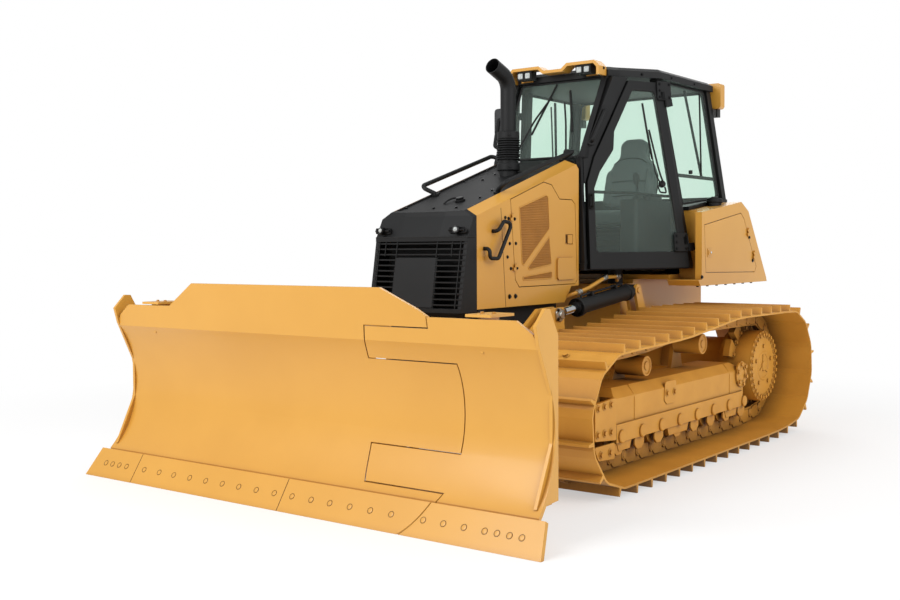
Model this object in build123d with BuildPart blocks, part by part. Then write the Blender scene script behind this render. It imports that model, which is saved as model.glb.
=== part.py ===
"""Bulldozer on low-ground-pressure tracks, with a folding, angling and tilting blade.

Millimetres. +X is forward, +Y is the machine's left and +Z is up. The ground is z = 0, and the
origin lies on it, midway between the cutting edge's tip and the rear end of the drawbar.
"""
import math
import os

from build123d import *

os.makedirs("parts", exist_ok=True)

# ---------------------------------------------------------------- driving dimensions
half_length = 2386.0           # cutting edge's tip ahead of the origin, drawbar's end behind it

# Tracks
gauge = 2000.0                 # between the two tracks' middles
shoe_width = 760.0
shoe_plate = 12.0
grouser_height = 48.0
grouser_thickness = 14.0
shoe_count = 40
shoe_pitch = 184.6
sprocket_teeth = 12
pin_to_plate = 75.0            # from a link's pin line out to the shoe's outer face
link_inside = 45.0             # from the pin line in to the rail that runs on the rollers
rail_width = 36.0
rail_gap = 62.0                # between the two rails of a chain
bushing_radius = 22.0
sprocket_x, sprocket_z = -1631.0, 494.0
idler_pitch_radius = 311.0
last_roller_x = -1214.0
chain_lift_x = -1330.0         # where the chain leaves the ground towards the sprocket
carrier_play = 7.0             # the chain bridges a carrier roller in straight links
roller_count = 8
roller_spacing = 268.0
roller_radius = 92.0
roller_flange = 16.0
track_wall_in, track_wall_out = 150.0, 125.0   # track frame's walls, out from the track's middle
track_frame_bottom, track_frame_top = 240.0, 560.0
# carrier rollers: x, z, radius, the rear one first
carriers = ((-637.0, track_frame_top + 170.0, 70.0), (211.0, track_frame_top + 93.0, 65.0))
frame_to_sprocket = 26.0
frame_to_idler = 25.0

# Hull
hull_rear = 226.0 - half_length
hull_half = 330.0
rear_case_half = 395.0
belly_z = 380.0
hull_top = 640.0
rear_case_front = -760.0
rear_case_top = 1130.0
hull_front = 960.0
cross_tubes = (-1250.0, -620.0)
cross_tube_radius = 62.0
cross_tube_z = 430.0

# Hood and nose
panel_half = 362.0             # outer face of the side panels
panel_thickness = 14.0
hood_front_x, hood_front_z = 1015.0, 1641.0
hood_rear_x, hood_rear_z = -222.0, 2032.0
nose_x = 1136.0                # nose's middle facet, under its cap
nose_lean = 80.0               # its foot stands this far ahead of that
nose_bottom = 1010.0
cap_seam_z = 1470.0
facet_half = 158.0
louver_count = 12

# Cab
cab_floor_z = 1240.0
cab_wall = 40.0
roof_z = 2700.0
roof_thickness = 70.0
door_front = (-215.0, 400.0)   # plan place of the door's front edge at the floor
door_rear = (-1117.0, 800.0)   # plan place of the door's rear edge at the floor
door_thickness = 34.0
glass_thickness = 8.0

# Rear body
body_half = 900.0

# Blade
edge_half = 1680.0
edge_flare = 39.0
blade_half = edge_half - 88.0
plate_thickness = 20.0
blade_pivot_x = half_length - 736.0   # vertical axis that the blade angles about
tilt_z = 430.0                 # fore-and-aft axis that the blade tilts about
hinge_x, hinge_y = half_length - 308.0, 715.0      # vertical axis that the blade's wing folds about
wing_gap = 6.0
# wing hinge's knuckles: low z, high z, whether the knuckle is the wing's, radius about the axis
knuckles = (
    (-10.0, 195.0, False, 332.0),
    (195.0, 378.0, True, 255.0),
    (378.0, 830.0, False, 332.0),
    (830.0, 1007.0, True, 255.0),
    (1007.0, 1300.0, False, 236.0),
)

# C-frame and cylinders
push_pin_x, push_pin_z = -430.0, 430.0
arm_in, arm_out = 475.0, 585.0
arm_middle = (arm_in + arm_out) / 2
lift_barrel_pin = (-700.0, 1090.0)    # x, z
lift_rod_pin = (400.0, 968.0)
angle_barrel_pin = (blade_pivot_x - 540.0, 440.0)    # x, y
angle_rod_pin = (blade_pivot_x + 188.0, 420.0)
angle_z = 600.0
tilt_cylinder_x, tilt_cylinder_z = blade_pivot_x + 340.0, 880.0
tilt_barrel_y, tilt_rod_y = -300.0, 330.0

SIDES = (("left", 1), ("right", -1))
seat_gap = 0.3                 # between pieces that bear on each other
running_gap = 0.3              # between a pin and the eye that turns on it


def hinge_leaf(plane, level, length, reach, leaf, radius, inward, pin=0.0, bore=0.0):
    """Solid of one hinge leaf: a knuckle on the axis and a strap to what it is fixed to."""
    with BuildSketch(plane.offset(level)) as knuckle:
        Circle(radius)
        with Locations((min(0, leaf), -radius + 1)):
            Rectangle(abs(leaf), inward + radius - 1, align=(Align.MIN, Align.MIN))
        if bore:
            Circle(bore, mode=Mode.SUBTRACT)
    extrude(knuckle.sketch, amount=length)
    if pin:
        with BuildSketch(plane.offset(level)) as shaft:
            Circle(pin)
        extrude(shaft.sketch, amount=reach)


def save(piece, label):
    """Label a finished piece and write its STEP file."""
    piece.part.label = label
    export_step(piece.part, f"parts/{label}.step")


def side_plane(y):
    """Vertical plane along the machine at y: local x is forward and local y is up."""
    return Plane.XZ.offset(-y)


# ---------------------------------------------------------------- the chain's path
ground_pin_z = grouser_height + pin_to_plate
sprocket_pitch_radius = shoe_pitch * sprocket_teeth / (2 * math.pi)
idler_z = ground_pin_z + idler_pitch_radius


def touch_point(centre, radius, point, turn):
    """Where a line from a point touches a circle; turn is +1 or -1 for the side."""
    gap = math.hypot(point[0] - centre[0], point[1] - centre[1])
    toward = math.atan2(point[1] - centre[1], point[0] - centre[0])
    angle = toward + turn * math.acos(radius / gap)
    return (centre[0] + radius * math.cos(angle), centre[1] + radius * math.sin(angle))


def chain_path(idler_x):
    """The pin line as straight runs (start, end) and arcs (centre, radius, from, sweep)."""
    sprocket = (sprocket_x, sprocket_z)
    idler = (idler_x, idler_z)
    under_idler = (idler_x, ground_pin_z)
    lift_off = (chain_lift_x, ground_pin_z)
    on_sprocket = touch_point(sprocket, sprocket_pitch_radius, lift_off, -1)
    tops = [(x, z + radius + link_inside + carrier_play) for x, z, radius in carriers]
    off_sprocket = touch_point(sprocket, sprocket_pitch_radius, tops[0], 1)
    on_idler = touch_point(idler, idler_pitch_radius, tops[-1], -1)
    path = [("run", under_idler, lift_off), ("run", lift_off, on_sprocket)]
    for centre, start, end in ((sprocket, on_sprocket, off_sprocket), (idler, on_idler, under_idler)):
        radius = math.dist(centre, start)
        first = math.atan2(start[1] - centre[1], start[0] - centre[0])
        last = math.atan2(end[1] - centre[1], end[0] - centre[0])
        arc = ("arc", centre, radius, first, -((first - last) % (2 * math.pi)))
        if centre == sprocket:
            path.append(arc)
            stops = [off_sprocket] + tops + [on_idler]
            path += [("run", a, b) for a, b in zip(stops, stops[1:])]
        else:
            path.append(arc)
    return path


def piece_length(piece):
    """Length of one run or arc of the chain's path."""
    if piece[0] == "run":
        return math.dist(piece[1], piece[2])
    return piece[2] * abs(piece[4])


def point_at(path, distance):
    """The point that lies a distance along the chain's path."""
    for piece in path:
        length = piece_length(piece)
        if distance <= length:
            break
        distance -= length
    share = min(distance / length, 1.0)
    if piece[0] == "run":
        start, end = piece[1:]
        return tuple(a + share * (b - a) for a, b in zip(start, end))
    centre, radius, first, sweep = piece[1:]
    angle = first + share * sweep
    return (centre[0] + radius * math.cos(angle), centre[1] + radius * math.sin(angle))


# The idler is pushed forward until the chain's whole number of links is tight.
idler_x = 1000.0
for _ in range(40):
    idler_x += (shoe_count * shoe_pitch - sum(map(piece_length, chain_path(idler_x)))) / 2
chain = chain_path(idler_x)
pins = [point_at(chain, link * shoe_pitch) for link in range(shoe_count)]
links = list(zip(pins, pins[1:] + pins[:1]))


def from_link(link, along, out):
    """A point given along a link and outward from its pin line."""
    (ax, az), (bx, bz) = link
    length = math.dist(*link)
    dx, dz = (bx - ax) / length, (bz - az) / length
    return (ax + along * dx - out * dz, az + along * dz + out * dx)


def belt_outline(stations):
    """Closed outline round the chain that repeats the stations (along, out) on each link."""
    return [from_link(link, along, out) for link in links for along, out in stations]


def rail_outline(out):
    """Closed outline parallel to the pin line, with a corner at each pin."""
    corners = []
    for before, after in zip(links[-1:] + links[:-1], links):
        first = math.atan2(before[1][1] - before[0][1], before[1][0] - before[0][0])
        second = math.atan2(after[1][1] - after[0][1], after[1][0] - after[0][0])
        half = math.remainder(second - first, 2 * math.pi) / 2
        middle = first + half + math.pi / 2
        reach = out / math.cos(half)
        x, z = after[0]
        corners.append((x + reach * math.cos(middle), z + reach * math.sin(middle)))
    return corners


plate_end = 4.0
grouser_foot = 130.0
plate_in = pin_to_plate - shoe_plate
grouser_tip = pin_to_plate + grouser_height
grouser_lean = 5.0
shoe_outside = (
    (plate_end, pin_to_plate),
    (grouser_foot, pin_to_plate),
    (grouser_foot + grouser_lean, grouser_tip),
    (grouser_foot + grouser_lean + grouser_thickness, grouser_tip),
    (grouser_foot + 2 * grouser_lean + grouser_thickness, pin_to_plate),
    (shoe_pitch - plate_end, pin_to_plate),
)
shoe_inside = ((plate_end, plate_in), (shoe_pitch - plate_end, plate_in))
rail_into_shoe = 3.0

for side, sign in SIDES:
    middle_y = sign * gauge / 2
    with BuildPart() as track:
        with BuildSketch(side_plane(middle_y)):
            with BuildLine():
                Polyline(*belt_outline(shoe_outside), close=True)
            make_face()
            with BuildLine():
                Polyline(*belt_outline(shoe_inside), close=True)
            make_face(mode=Mode.SUBTRACT)
        extrude(amount=shoe_width / 2, both=True)
        for rail in (-1, 1):
            rail_y = middle_y + rail * (rail_gap + rail_width) / 2
            with BuildSketch(side_plane(rail_y)):
                with BuildLine():
                    Polyline(*rail_outline(plate_in + rail_into_shoe), close=True)
                make_face()
                with BuildLine():
                    Polyline(*rail_outline(-link_inside), close=True)
                make_face(mode=Mode.SUBTRACT)
            extrude(amount=rail_width / 2, both=True)
        with BuildSketch(side_plane(middle_y)):
            with Locations(*pins):
                RegularPolygon(bushing_radius, 8)
        extrude(amount=rail_gap / 2 + rail_into_shoe, both=True)
    save(track, f"track_{side}")

# ---------------------------------------------------------------- sprockets and final drives
sprocket_half_width = 24.0
tooth_height = 20.0
bushing_clearance = 8.0
hub_radius = 265.0
hub_out = 150.0
hub_in = -100.0
final_drive_radius = 205.0

sprocket_pins = [p for p in pins if math.dist(p, (sprocket_x, sprocket_z)) < sprocket_pitch_radius + 1]
rearmost = min(sprocket_pins)
tooth_phase = math.degrees(math.atan2(rearmost[1] - sprocket_z, rearmost[0] - sprocket_x))
pocket = bushing_radius + bushing_clearance

with BuildPart() as sprockets:
    for side, sign in SIDES:
        with BuildSketch(side_plane(sign * gauge / 2)):
            with Locations((sprocket_x, sprocket_z)):
                Circle(sprocket_pitch_radius + tooth_height)
                with PolarLocations(sprocket_pitch_radius, sprocket_teeth, start_angle=tooth_phase):
                    SlotCenterToCenter(4 * pocket, 2 * pocket, mode=Mode.SUBTRACT)
                    Circle(pocket, mode=Mode.SUBTRACT)
        extrude(amount=sprocket_half_width, both=True)
        with BuildSketch(side_plane(sign * (gauge / 2 + (hub_in + hub_out) / 2))):
            with Locations((sprocket_x, sprocket_z)):
                Circle(hub_radius)
        extrude(amount=(hub_out - hub_in) / 2, both=True)
save(sprockets, "sprockets")

with BuildPart() as final_drives:
    for side, sign in SIDES:
        with BuildSketch(side_plane(sign * rear_case_half)):
            with Locations((sprocket_x, sprocket_z)):
                Circle(final_drive_radius)
        extrude(amount=-sign * (gauge / 2 + hub_in - rear_case_half))
save(final_drives, "final_drives")

# ---------------------------------------------------------------- idlers and rollers
idler_half_width = 78.0
idler_bore = 70.0
flange_height = 18.0
idler_tread = idler_pitch_radius * math.cos(math.pi / 10) - link_inside

with BuildPart() as idlers:
    for side, sign in SIDES:
        with BuildSketch(side_plane(sign * gauge / 2)):
            with Locations((idler_x, idler_z)):
                Circle(idler_tread)
                Circle(idler_bore, mode=Mode.SUBTRACT)
        extrude(amount=idler_half_width, both=True)
        with BuildSketch(side_plane(sign * gauge / 2)):
            with Locations((idler_x, idler_z)):
                Circle(idler_tread + flange_height)
                Circle(idler_bore, mode=Mode.SUBTRACT)
        extrude(amount=rail_gap / 2 - 6, both=True)
save(idlers, "idlers")

roller_half_width = 104.0
flange_from_middle = 72.0
roller_z = ground_pin_z + link_inside + roller_radius + 0.5
first_roller_x = last_roller_x + (roller_count - 1) * roller_spacing
roller_places = [first_roller_x - i * roller_spacing for i in range(roller_count)]
roller_shaft = 30.0

with BuildPart() as track_rollers:
    for side, sign in SIDES:
        for x in roller_places:
            with BuildSketch(Plane((x, sign * gauge / 2, roller_z), x_dir=(0, 1, 0), z_dir=(1, 0, 0))):
                for end in (-1, 1):
                    with Locations((end * (flange_from_middle + roller_half_width) / 2, 0)):
                        Rectangle(roller_half_width - flange_from_middle, 2 * (roller_radius + roller_flange))
                Rectangle(2 * roller_half_width, 2 * roller_radius)
                Rectangle(2 * track_wall_out, 2 * roller_shaft)
                Rectangle(4 * track_wall_in, 4 * roller_radius, align=(Align.CENTER, Align.MAX),
                          mode=Mode.SUBTRACT)
            revolve(axis=Axis((x, 0, roller_z), (0, 1, 0)))
save(track_rollers, "track_rollers")

carrier_half_width = 95.0
carrier_foot = 90.0
with BuildPart() as carrier_rollers:
    for side, sign in SIDES:
        for x, z, radius in carriers:
            with BuildSketch(side_plane(sign * gauge / 2)):
                with Locations((x, z)):
                    Circle(radius)
            extrude(amount=carrier_half_width, both=True)
save(carrier_rollers, "carrier_rollers")

# ---------------------------------------------------------------- track frames
track_frame_front = idler_x - idler_tread - flange_height - frame_to_idler
frame_rear = sprocket_x + sprocket_pitch_radius + tooth_height + frame_to_sprocket
fork_half_height = 58.0
fork_gap = idler_half_width + 14
fork_plate = 26.0
carrier_post = 14.0
guard_drop = 55.0
frame_bevel = 58.0             # along the box's upper outer edge
flange_rise, flange_proud = 110.0, 14.0    # the stout lower strip that carries the rollers
guard_spans = ((-1130.0, -900.0), (-310.0, 20.0), (500.0, 700.0))   # rear end, front end

for side, sign in SIDES:
    middle_y = sign * gauge / 2
    with BuildPart() as track_frame:
        with BuildSketch(side_plane(middle_y)):
            with BuildLine():
                Polyline(
                    (frame_rear, track_frame_bottom + 40), (frame_rear + 60, track_frame_bottom),
                    (track_frame_front, track_frame_bottom), (track_frame_front, track_frame_top - 50),
                    (track_frame_front - 60, track_frame_top), (frame_rear + 120, track_frame_top),
                    (frame_rear, track_frame_top - 60), close=True)
            make_face()
        extrude(amount=track_wall_in, both=True)
        top_edges = track_frame.edges().filter_by(Axis.X).group_by(Axis.Z)[-1]
        chamfer(top_edges.sort_by(Axis.Y)[-1 if sign > 0 else 0], frame_bevel)
        with BuildSketch(side_plane(middle_y + sign * track_wall_in)):
            with BuildLine():
                Polyline((frame_rear + 60, track_frame_bottom), (track_frame_front, track_frame_bottom),
                         (track_frame_front, track_frame_bottom + flange_rise),
                         (frame_rear + 30, track_frame_bottom + flange_rise), close=True)
            make_face()
        extrude(amount=-sign * flange_proud)
        with BuildSketch(side_plane(middle_y)):
            with Locations(((frame_rear + track_frame_front) / 2, track_frame_bottom)):
                Rectangle(2 * (track_frame_front - frame_rear),
                          2 * (roller_z + roller_radius + 30 - track_frame_bottom))
        extrude(amount=track_wall_out, both=True, mode=Mode.SUBTRACT)
        for rear, front in guard_spans:
            for wall in (-1, 1):
                wall_y = middle_y + wall * (track_wall_in + track_wall_out) / 2
                with BuildSketch(side_plane(wall_y)):
                    with BuildLine():
                        Polyline((rear, track_frame_bottom + 10), (front, track_frame_bottom + 10),
                                 (front - 30, track_frame_bottom - guard_drop),
                                 (rear + 30, track_frame_bottom - guard_drop), close=True)
                    make_face()
                extrude(amount=(track_wall_in - track_wall_out) / 2, both=True)
        for cheek in (-1, 1):
            cheek_y = middle_y + cheek * (fork_gap + fork_plate / 2)
            with BuildSketch(side_plane(cheek_y)):
                with BuildLine():
                    Polyline((track_frame_front - 60, idler_z - fork_half_height),
                             (idler_x, idler_z - fork_half_height), (idler_x, idler_z + fork_half_height),
                             (track_frame_front - 60, idler_z + fork_half_height), close=True)
                make_face()
                with Locations((idler_x, idler_z)):
                    Circle(fork_half_height + 12)
            extrude(amount=fork_plate / 2, both=True)
        with BuildSketch(side_plane(middle_y)):
            with Locations((idler_x, idler_z)):
                Circle(idler_bore - 0.4)
        extrude(amount=fork_gap + 1, both=True)
        for x, z, radius in carriers:
            post_y = middle_y - sign * (carrier_half_width + carrier_post)
            with BuildSketch(side_plane(post_y)):
                with BuildLine():
                    Polyline((x - carrier_foot, track_frame_top - 5), (x + carrier_foot, track_frame_top - 5),
                             (x + 40, z), (x - 40, z), close=True)
                make_face()
                with Locations((x, z)):
                    Circle(40)
            extrude(amount=carrier_post, both=True)
    save(track_frame, f"track_frame_{side}")

# ---------------------------------------------------------------- hull
lift_bracket_thickness = 22.0
eye_width = 34.0
eye_gap = 46.0                 # between the two ears that carry a cylinder's eye
push_pin_radius = 38.0
drawbar_bore = 20.0
drawbar_z = 447.0
drawbar_thickness = 38.0
drawbar_half_width = 75.0
seat_z = 1160.0                # top of the rear case's column, where the cab and body rest
column_front, column_rear = -960.0, hull_rear - 20
push_boss = 70.0
barrel_pins = {"lift": 21.0, "angle": 17.0, "tilt": 19.0}      # pins that carry the barrels' eyes

with BuildPart() as main_frame:
    with BuildSketch(Plane.XZ):
        with BuildLine():
            Polyline((hull_front, belly_z + 110), (hull_front - 150, belly_z), (hull_rear + 40, belly_z),
                     (hull_rear, belly_z + 20), (hull_rear, hull_top), (hull_front, hull_top), close=True)
        make_face()
    extrude(amount=hull_half, both=True)
    with BuildSketch(Plane.XZ):
        with BuildLine():
            Polyline((rear_case_front, belly_z + 60), (rear_case_front, rear_case_top),
                     (column_front, rear_case_top), (column_front, seat_z), (column_rear, seat_z),
                     (column_rear, hull_top), (hull_rear, belly_z + 140), (hull_rear, belly_z + 60), close=True)
        make_face()
    extrude(amount=rear_case_half, both=True)
    for x in cross_tubes:
        with BuildSketch(Plane.XZ):
            with Locations((x, cross_tube_z)):
                Circle(cross_tube_radius)
        extrude(amount=gauge / 2 - track_wall_in, both=True)
    for side, sign in SIDES:
        with BuildSketch(side_plane(sign * (hull_half - 10))):
            with Locations((push_pin_x, push_pin_z)):
                Circle(push_boss)
        extrude(amount=-sign * (arm_in - hull_half + 4))
        with BuildSketch(side_plane(sign * (arm_in - 6))):
            with Locations((push_pin_x, push_pin_z)):
                Circle(push_pin_radius)
        extrude(amount=-sign * (arm_out - arm_in + 12))
        for ear in (-1, 1):
            ear_y = sign * arm_middle + ear * (eye_gap + lift_bracket_thickness) / 2
            with BuildSketch(side_plane(ear_y)):
                with BuildLine():
                    Polyline((lift_barrel_pin[0] - 160, 860), (lift_barrel_pin[0] - 40, 860),
                             (lift_barrel_pin[0] + 45, lift_barrel_pin[1]),
                             (lift_barrel_pin[0] - 45, lift_barrel_pin[1]), close=True)
                make_face()
                with Locations(lift_barrel_pin):
                    Circle(45)
            extrude(amount=lift_bracket_thickness / 2, both=True)
        with BuildSketch(side_plane(sign * arm_middle)):
            with Locations(lift_barrel_pin):
                Circle(barrel_pins["lift"])
        extrude(amount=eye_gap / 2 + lift_bracket_thickness + 8, both=True)
        with BuildSketch(Plane.XY.offset(880)):
            with Locations((lift_barrel_pin[0] - 100, sign * (rear_case_half + arm_middle + 45) / 2)):
                Rectangle(120, arm_middle + 45 - rear_case_half + 20)
        extrude(amount=24, both=True)
save(main_frame, "main_frame")

with BuildPart() as drawbar:
    with BuildSketch(Plane.XY.offset(drawbar_z)):
        with Locations((hull_rear, 0)):
            Rectangle(half_length + hull_rear - drawbar_half_width, 2 * drawbar_half_width,
                      align=(Align.MAX, Align.CENTER))
        with Locations((-half_length + drawbar_half_width, 0)):
            Circle(drawbar_half_width)
            Circle(drawbar_bore, mode=Mode.SUBTRACT)
    extrude(amount=drawbar_thickness / 2, both=True)
    with BuildSketch(Plane.YZ.offset(hull_rear - seat_gap)):
        with Locations((0, drawbar_z)):
            Rectangle(2 * drawbar_half_width + 120, 136)
    extrude(amount=-24)
save(drawbar, "drawbar")

# ---------------------------------------------------------------- engine, radiator and hood
engine_front, engine_rear = 860.0, -60.0
engine_half = 270.0
engine_top = 1480.0
with BuildPart() as engine_block:
    with BuildSketch(Plane.XY.offset(hull_top)):
        with Locations(((engine_front + engine_rear) / 2, 0)):
            Rectangle(engine_front - engine_rear, 2 * engine_half)
    extrude(amount=engine_top - hull_top)
save(engine_block, "engine_block")


def hood_height(x):
    """Height of the hood's top surface at a station x."""
    share = (hood_front_x - x) / (hood_front_x - hood_rear_x)
    return hood_front_z + share * (hood_rear_z - hood_front_z)


hood_thickness = 16.0
hood_lip = 30.0
shoulder_in, shoulder_drop = 72.0, 42.0    # the side panels' sloped shoulders beside the hood
shoulder_proud = 12.0                      # the shoulders' ridge stands above the hood
hood_plane = Plane.YZ.offset(hood_rear_x)
hood_run = Vector(hood_front_x - hood_rear_x, 0, hood_front_z - hood_rear_z)
hood_length, hood_slope = hood_run.length, hood_run.normalized()
hood_half = panel_half - shoulder_in - seat_gap
exhaust_x, exhaust_radius = 125.0, 62.0

with BuildPart() as hood:
    with BuildSketch(hood_plane):
        with Locations((0, hood_rear_z - shoulder_proud)):
            Rectangle(2 * hood_half, hood_lip, align=(Align.CENTER, Align.MAX))
        with Locations((0, hood_rear_z - shoulder_proud - hood_thickness)):
            Rectangle(2 * (hood_half - hood_thickness), hood_lip, align=(Align.CENTER, Align.MAX),
                      mode=Mode.SUBTRACT)
    extrude(amount=hood_length, dir=hood_slope)
    with BuildSketch(Plane.XY.offset(hood_front_z)):
        with Locations((exhaust_x, 0)):
            Circle(exhaust_radius + 0.4)
    extrude(amount=hood_rear_z - hood_front_z, mode=Mode.SUBTRACT)
save(hood, "hood")

# Side panels: a front panel, the door's surround and the rear strip, one plate on each side,
# bent in at the top as a sloped shoulder whose ridge runs beside the hood
panel_top_drop = shoulder_drop
panel_front_top = (hood_front_x, hood_height(hood_front_x) - panel_top_drop)
panel_rear_x = -212.0
panel_rear_top = (panel_rear_x, hood_height(panel_rear_x) - panel_top_drop)
panel_bottom = 1136.0
panel_foot_z = nose_bottom + 16
shoulder = ((panel_half, hood_rear_z - shoulder_drop - 1), (panel_half, hood_rear_z - shoulder_drop),
            (panel_half - shoulder_in, hood_rear_z), (panel_half - shoulder_in, hood_rear_z - hood_lip),
            (panel_half - panel_thickness, hood_rear_z - shoulder_drop - 1))
# the shoulder's rear end is cut down to the cab: x, z
shoulder_cut = ((-148.0, hood_height(-148.0) - 4), (-240.0, 1920.0))
panel_front_x = hood_front_x
engine_door = ((640.0, 1709.0), (246.0, 1834.0), (146.0, 1820.0), (44.0, 1728.0), (-118.0, 1728.0),
               (-160.0, 1700.0), (-188.0, 1176.0), (-162.0, 1152.0), (544.0, 1152.0), (588.0, 1198.0))
door_seam = 5.0

# the engine doors' hinge axis runs along their front edge, in the seam and just outside the panel
panel_foot, panel_head = Vector(588, 0, 1198), Vector(640, 0, 1709)
panel_rise = (panel_head - panel_foot).normalized()
panel_ahead = Vector(panel_rise.Z, 0, -panel_rise.X)
hinge_out, hinge_past = 7.5, 4.0
panel_axis = {side: Plane(origin=panel_foot + hinge_past * panel_ahead + Vector(0, sign * (panel_half + hinge_out), 0),
                          x_dir=-panel_ahead, z_dir=sign * panel_rise) for side, sign in SIDES}
panel_hinges = (80.0, 400.0)
panel_pin = 3.5

with BuildPart() as hood_sides:
    for side, sign in SIDES:
        with BuildSketch(side_plane(sign * panel_half)):
            with BuildLine():
                Polyline((panel_front_x, panel_foot_z), panel_front_top, panel_rear_top,
                         (panel_rear_x, panel_bottom), (panel_rear_x + 100, panel_bottom),
                         (panel_rear_x + 190, panel_foot_z), close=True)
            make_face()
            with BuildSketch(mode=Mode.SUBTRACT):
                with BuildLine():
                    Polyline(*engine_door, close=True)
                make_face()
                offset(amount=door_seam)
        extrude(amount=sign * panel_thickness)
        with BuildSketch(hood_plane):
            with BuildLine():
                Polyline(*[(sign * y, z) for y, z in shoulder], close=True)
            make_face()
        extrude(amount=hood_length, dir=hood_slope)
        for height in panel_hinges:
            hinge_leaf(panel_axis[side], sign * height - 20, 20, 40, -24, 6.5, 9, pin=panel_pin)
    with BuildSketch(Plane.XZ):
        with BuildLine():
            Polyline(*shoulder_cut, (shoulder_cut[1][0], hood_rear_z + 60),
                     (shoulder_cut[0][0], hood_rear_z + 60), close=True)
        make_face()
    extrude(amount=panel_half + 1, both=True, mode=Mode.SUBTRACT)
save(hood_sides, "hood_sides")

vents = (
    ((541.0, 1660.0), (212.0, 1752.0), (192.0, 1738.0), (175.0, 1529.0), (492.0, 1290.0), (511.0, 1300.0)),
    ((179.0, 1475.0), (152.0, 1290.0), (427.0, 1258.0), (440.0, 1276.0)),
    ((499.0, 1213.0), (145.0, 1241.0), (143.0, 1196.0), (499.0, 1192.0)),
)
vent_depth = 6.0
cover_middle, cover_width, cover_height = (-30.0, 1258.0), 230.0, 150.0
cover_proud, cover_round = 12.0, 26.0
latch_middle, latch_width, latch_height = (-82.0, 1458.0), 96.0, 70.0
latch_depth = 8.0
for side, sign in SIDES:
    with BuildPart() as door:
        with BuildSketch(side_plane(sign * panel_half)):
            with BuildLine():
                Polyline(*engine_door, close=True)
            make_face()
        extrude(amount=sign * panel_thickness)
        with BuildSketch(side_plane(sign * panel_half)):
            for vent in vents:
                with BuildLine():
                    Polyline(*vent, close=True)
                make_face()
        extrude(amount=sign * vent_depth, mode=Mode.SUBTRACT)
        with BuildSketch(side_plane(sign * panel_half)):
            with Locations(latch_middle):
                Rectangle(latch_width, latch_height)
        extrude(amount=sign * latch_depth, mode=Mode.SUBTRACT)
        with BuildSketch(side_plane(sign * panel_half)):
            with Locations((latch_middle[0] - 16, latch_middle[1])):
                Rectangle(latch_width - 44, latch_height - 20)
        extrude(amount=sign * (latch_depth + 1))
        with BuildSketch(side_plane(sign * panel_half)):
            with Locations(cover_middle):
                RectangleRounded(cover_width, cover_height, cover_round)
        extrude(amount=-sign * cover_proud)
        for height in panel_hinges:
            hinge_leaf(panel_axis[side], sign * height + seat_gap, 20, 0, 24, 6.5, 9, bore=panel_pin + running_gap)
    save(door, f"engine_door_{side}")

# Nose: a cap over a grille whose louvers run round three facets
facet_back = 28.0
cap_back = hood_front_x + seat_gap
grille_frame = 26.0
grille_depth = 30.0
grille_top = cap_seam_z - seat_gap


def nose_front(z):
    """Station of the nose's middle facet at a height; under the cap it leans out to its foot."""
    return nose_x + nose_lean * max(0.0, cap_seam_z - z) / (cap_seam_z - nose_bottom)


def nose_plan(inset, back, front, swept=facet_back):
    """Plan outline of the three-faceted nose, set in from its outer faces."""
    half, corner_x = panel_half - inset, front - swept - inset
    return ((back, -half), (corner_x, -half), (front - inset, -facet_half),
            (front - inset, facet_half), (corner_x, half), (back, half))


# the cap's sections: height, how far its front is set back, how far its corners are swept back from that
cap_sections = ((cap_seam_z, 0.0, facet_back), (1600.0, 70.0, 24.0), (1700.0, 108.0, 10.0))
with BuildPart() as nose_cap:
    for lower, upper in zip(cap_sections, cap_sections[1:]):
        for height, setback, swept in (lower, upper):
            with BuildSketch(Plane.XY.offset(height)):
                with BuildLine():
                    Polyline(*nose_plan(0, cap_back, nose_x - setback, swept), close=True)
                make_face()
        loft()
    with BuildSketch(hood_plane):
        with BuildLine():
            Polyline((-panel_half - shoulder_in, hood_rear_z - 2 * shoulder_drop),
                     (shoulder_in - panel_half, hood_rear_z), (panel_half - shoulder_in, hood_rear_z),
                     (panel_half + shoulder_in, hood_rear_z - 2 * shoulder_drop),
                     (panel_half + shoulder_in, hood_rear_z + 250),
                     (-panel_half - shoulder_in, hood_rear_z + 250), close=True)
        make_face()
    extrude(amount=hood_length + nose_lean + facet_half, dir=hood_slope, mode=Mode.SUBTRACT)
save(nose_cap, "nose_cap")

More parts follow.
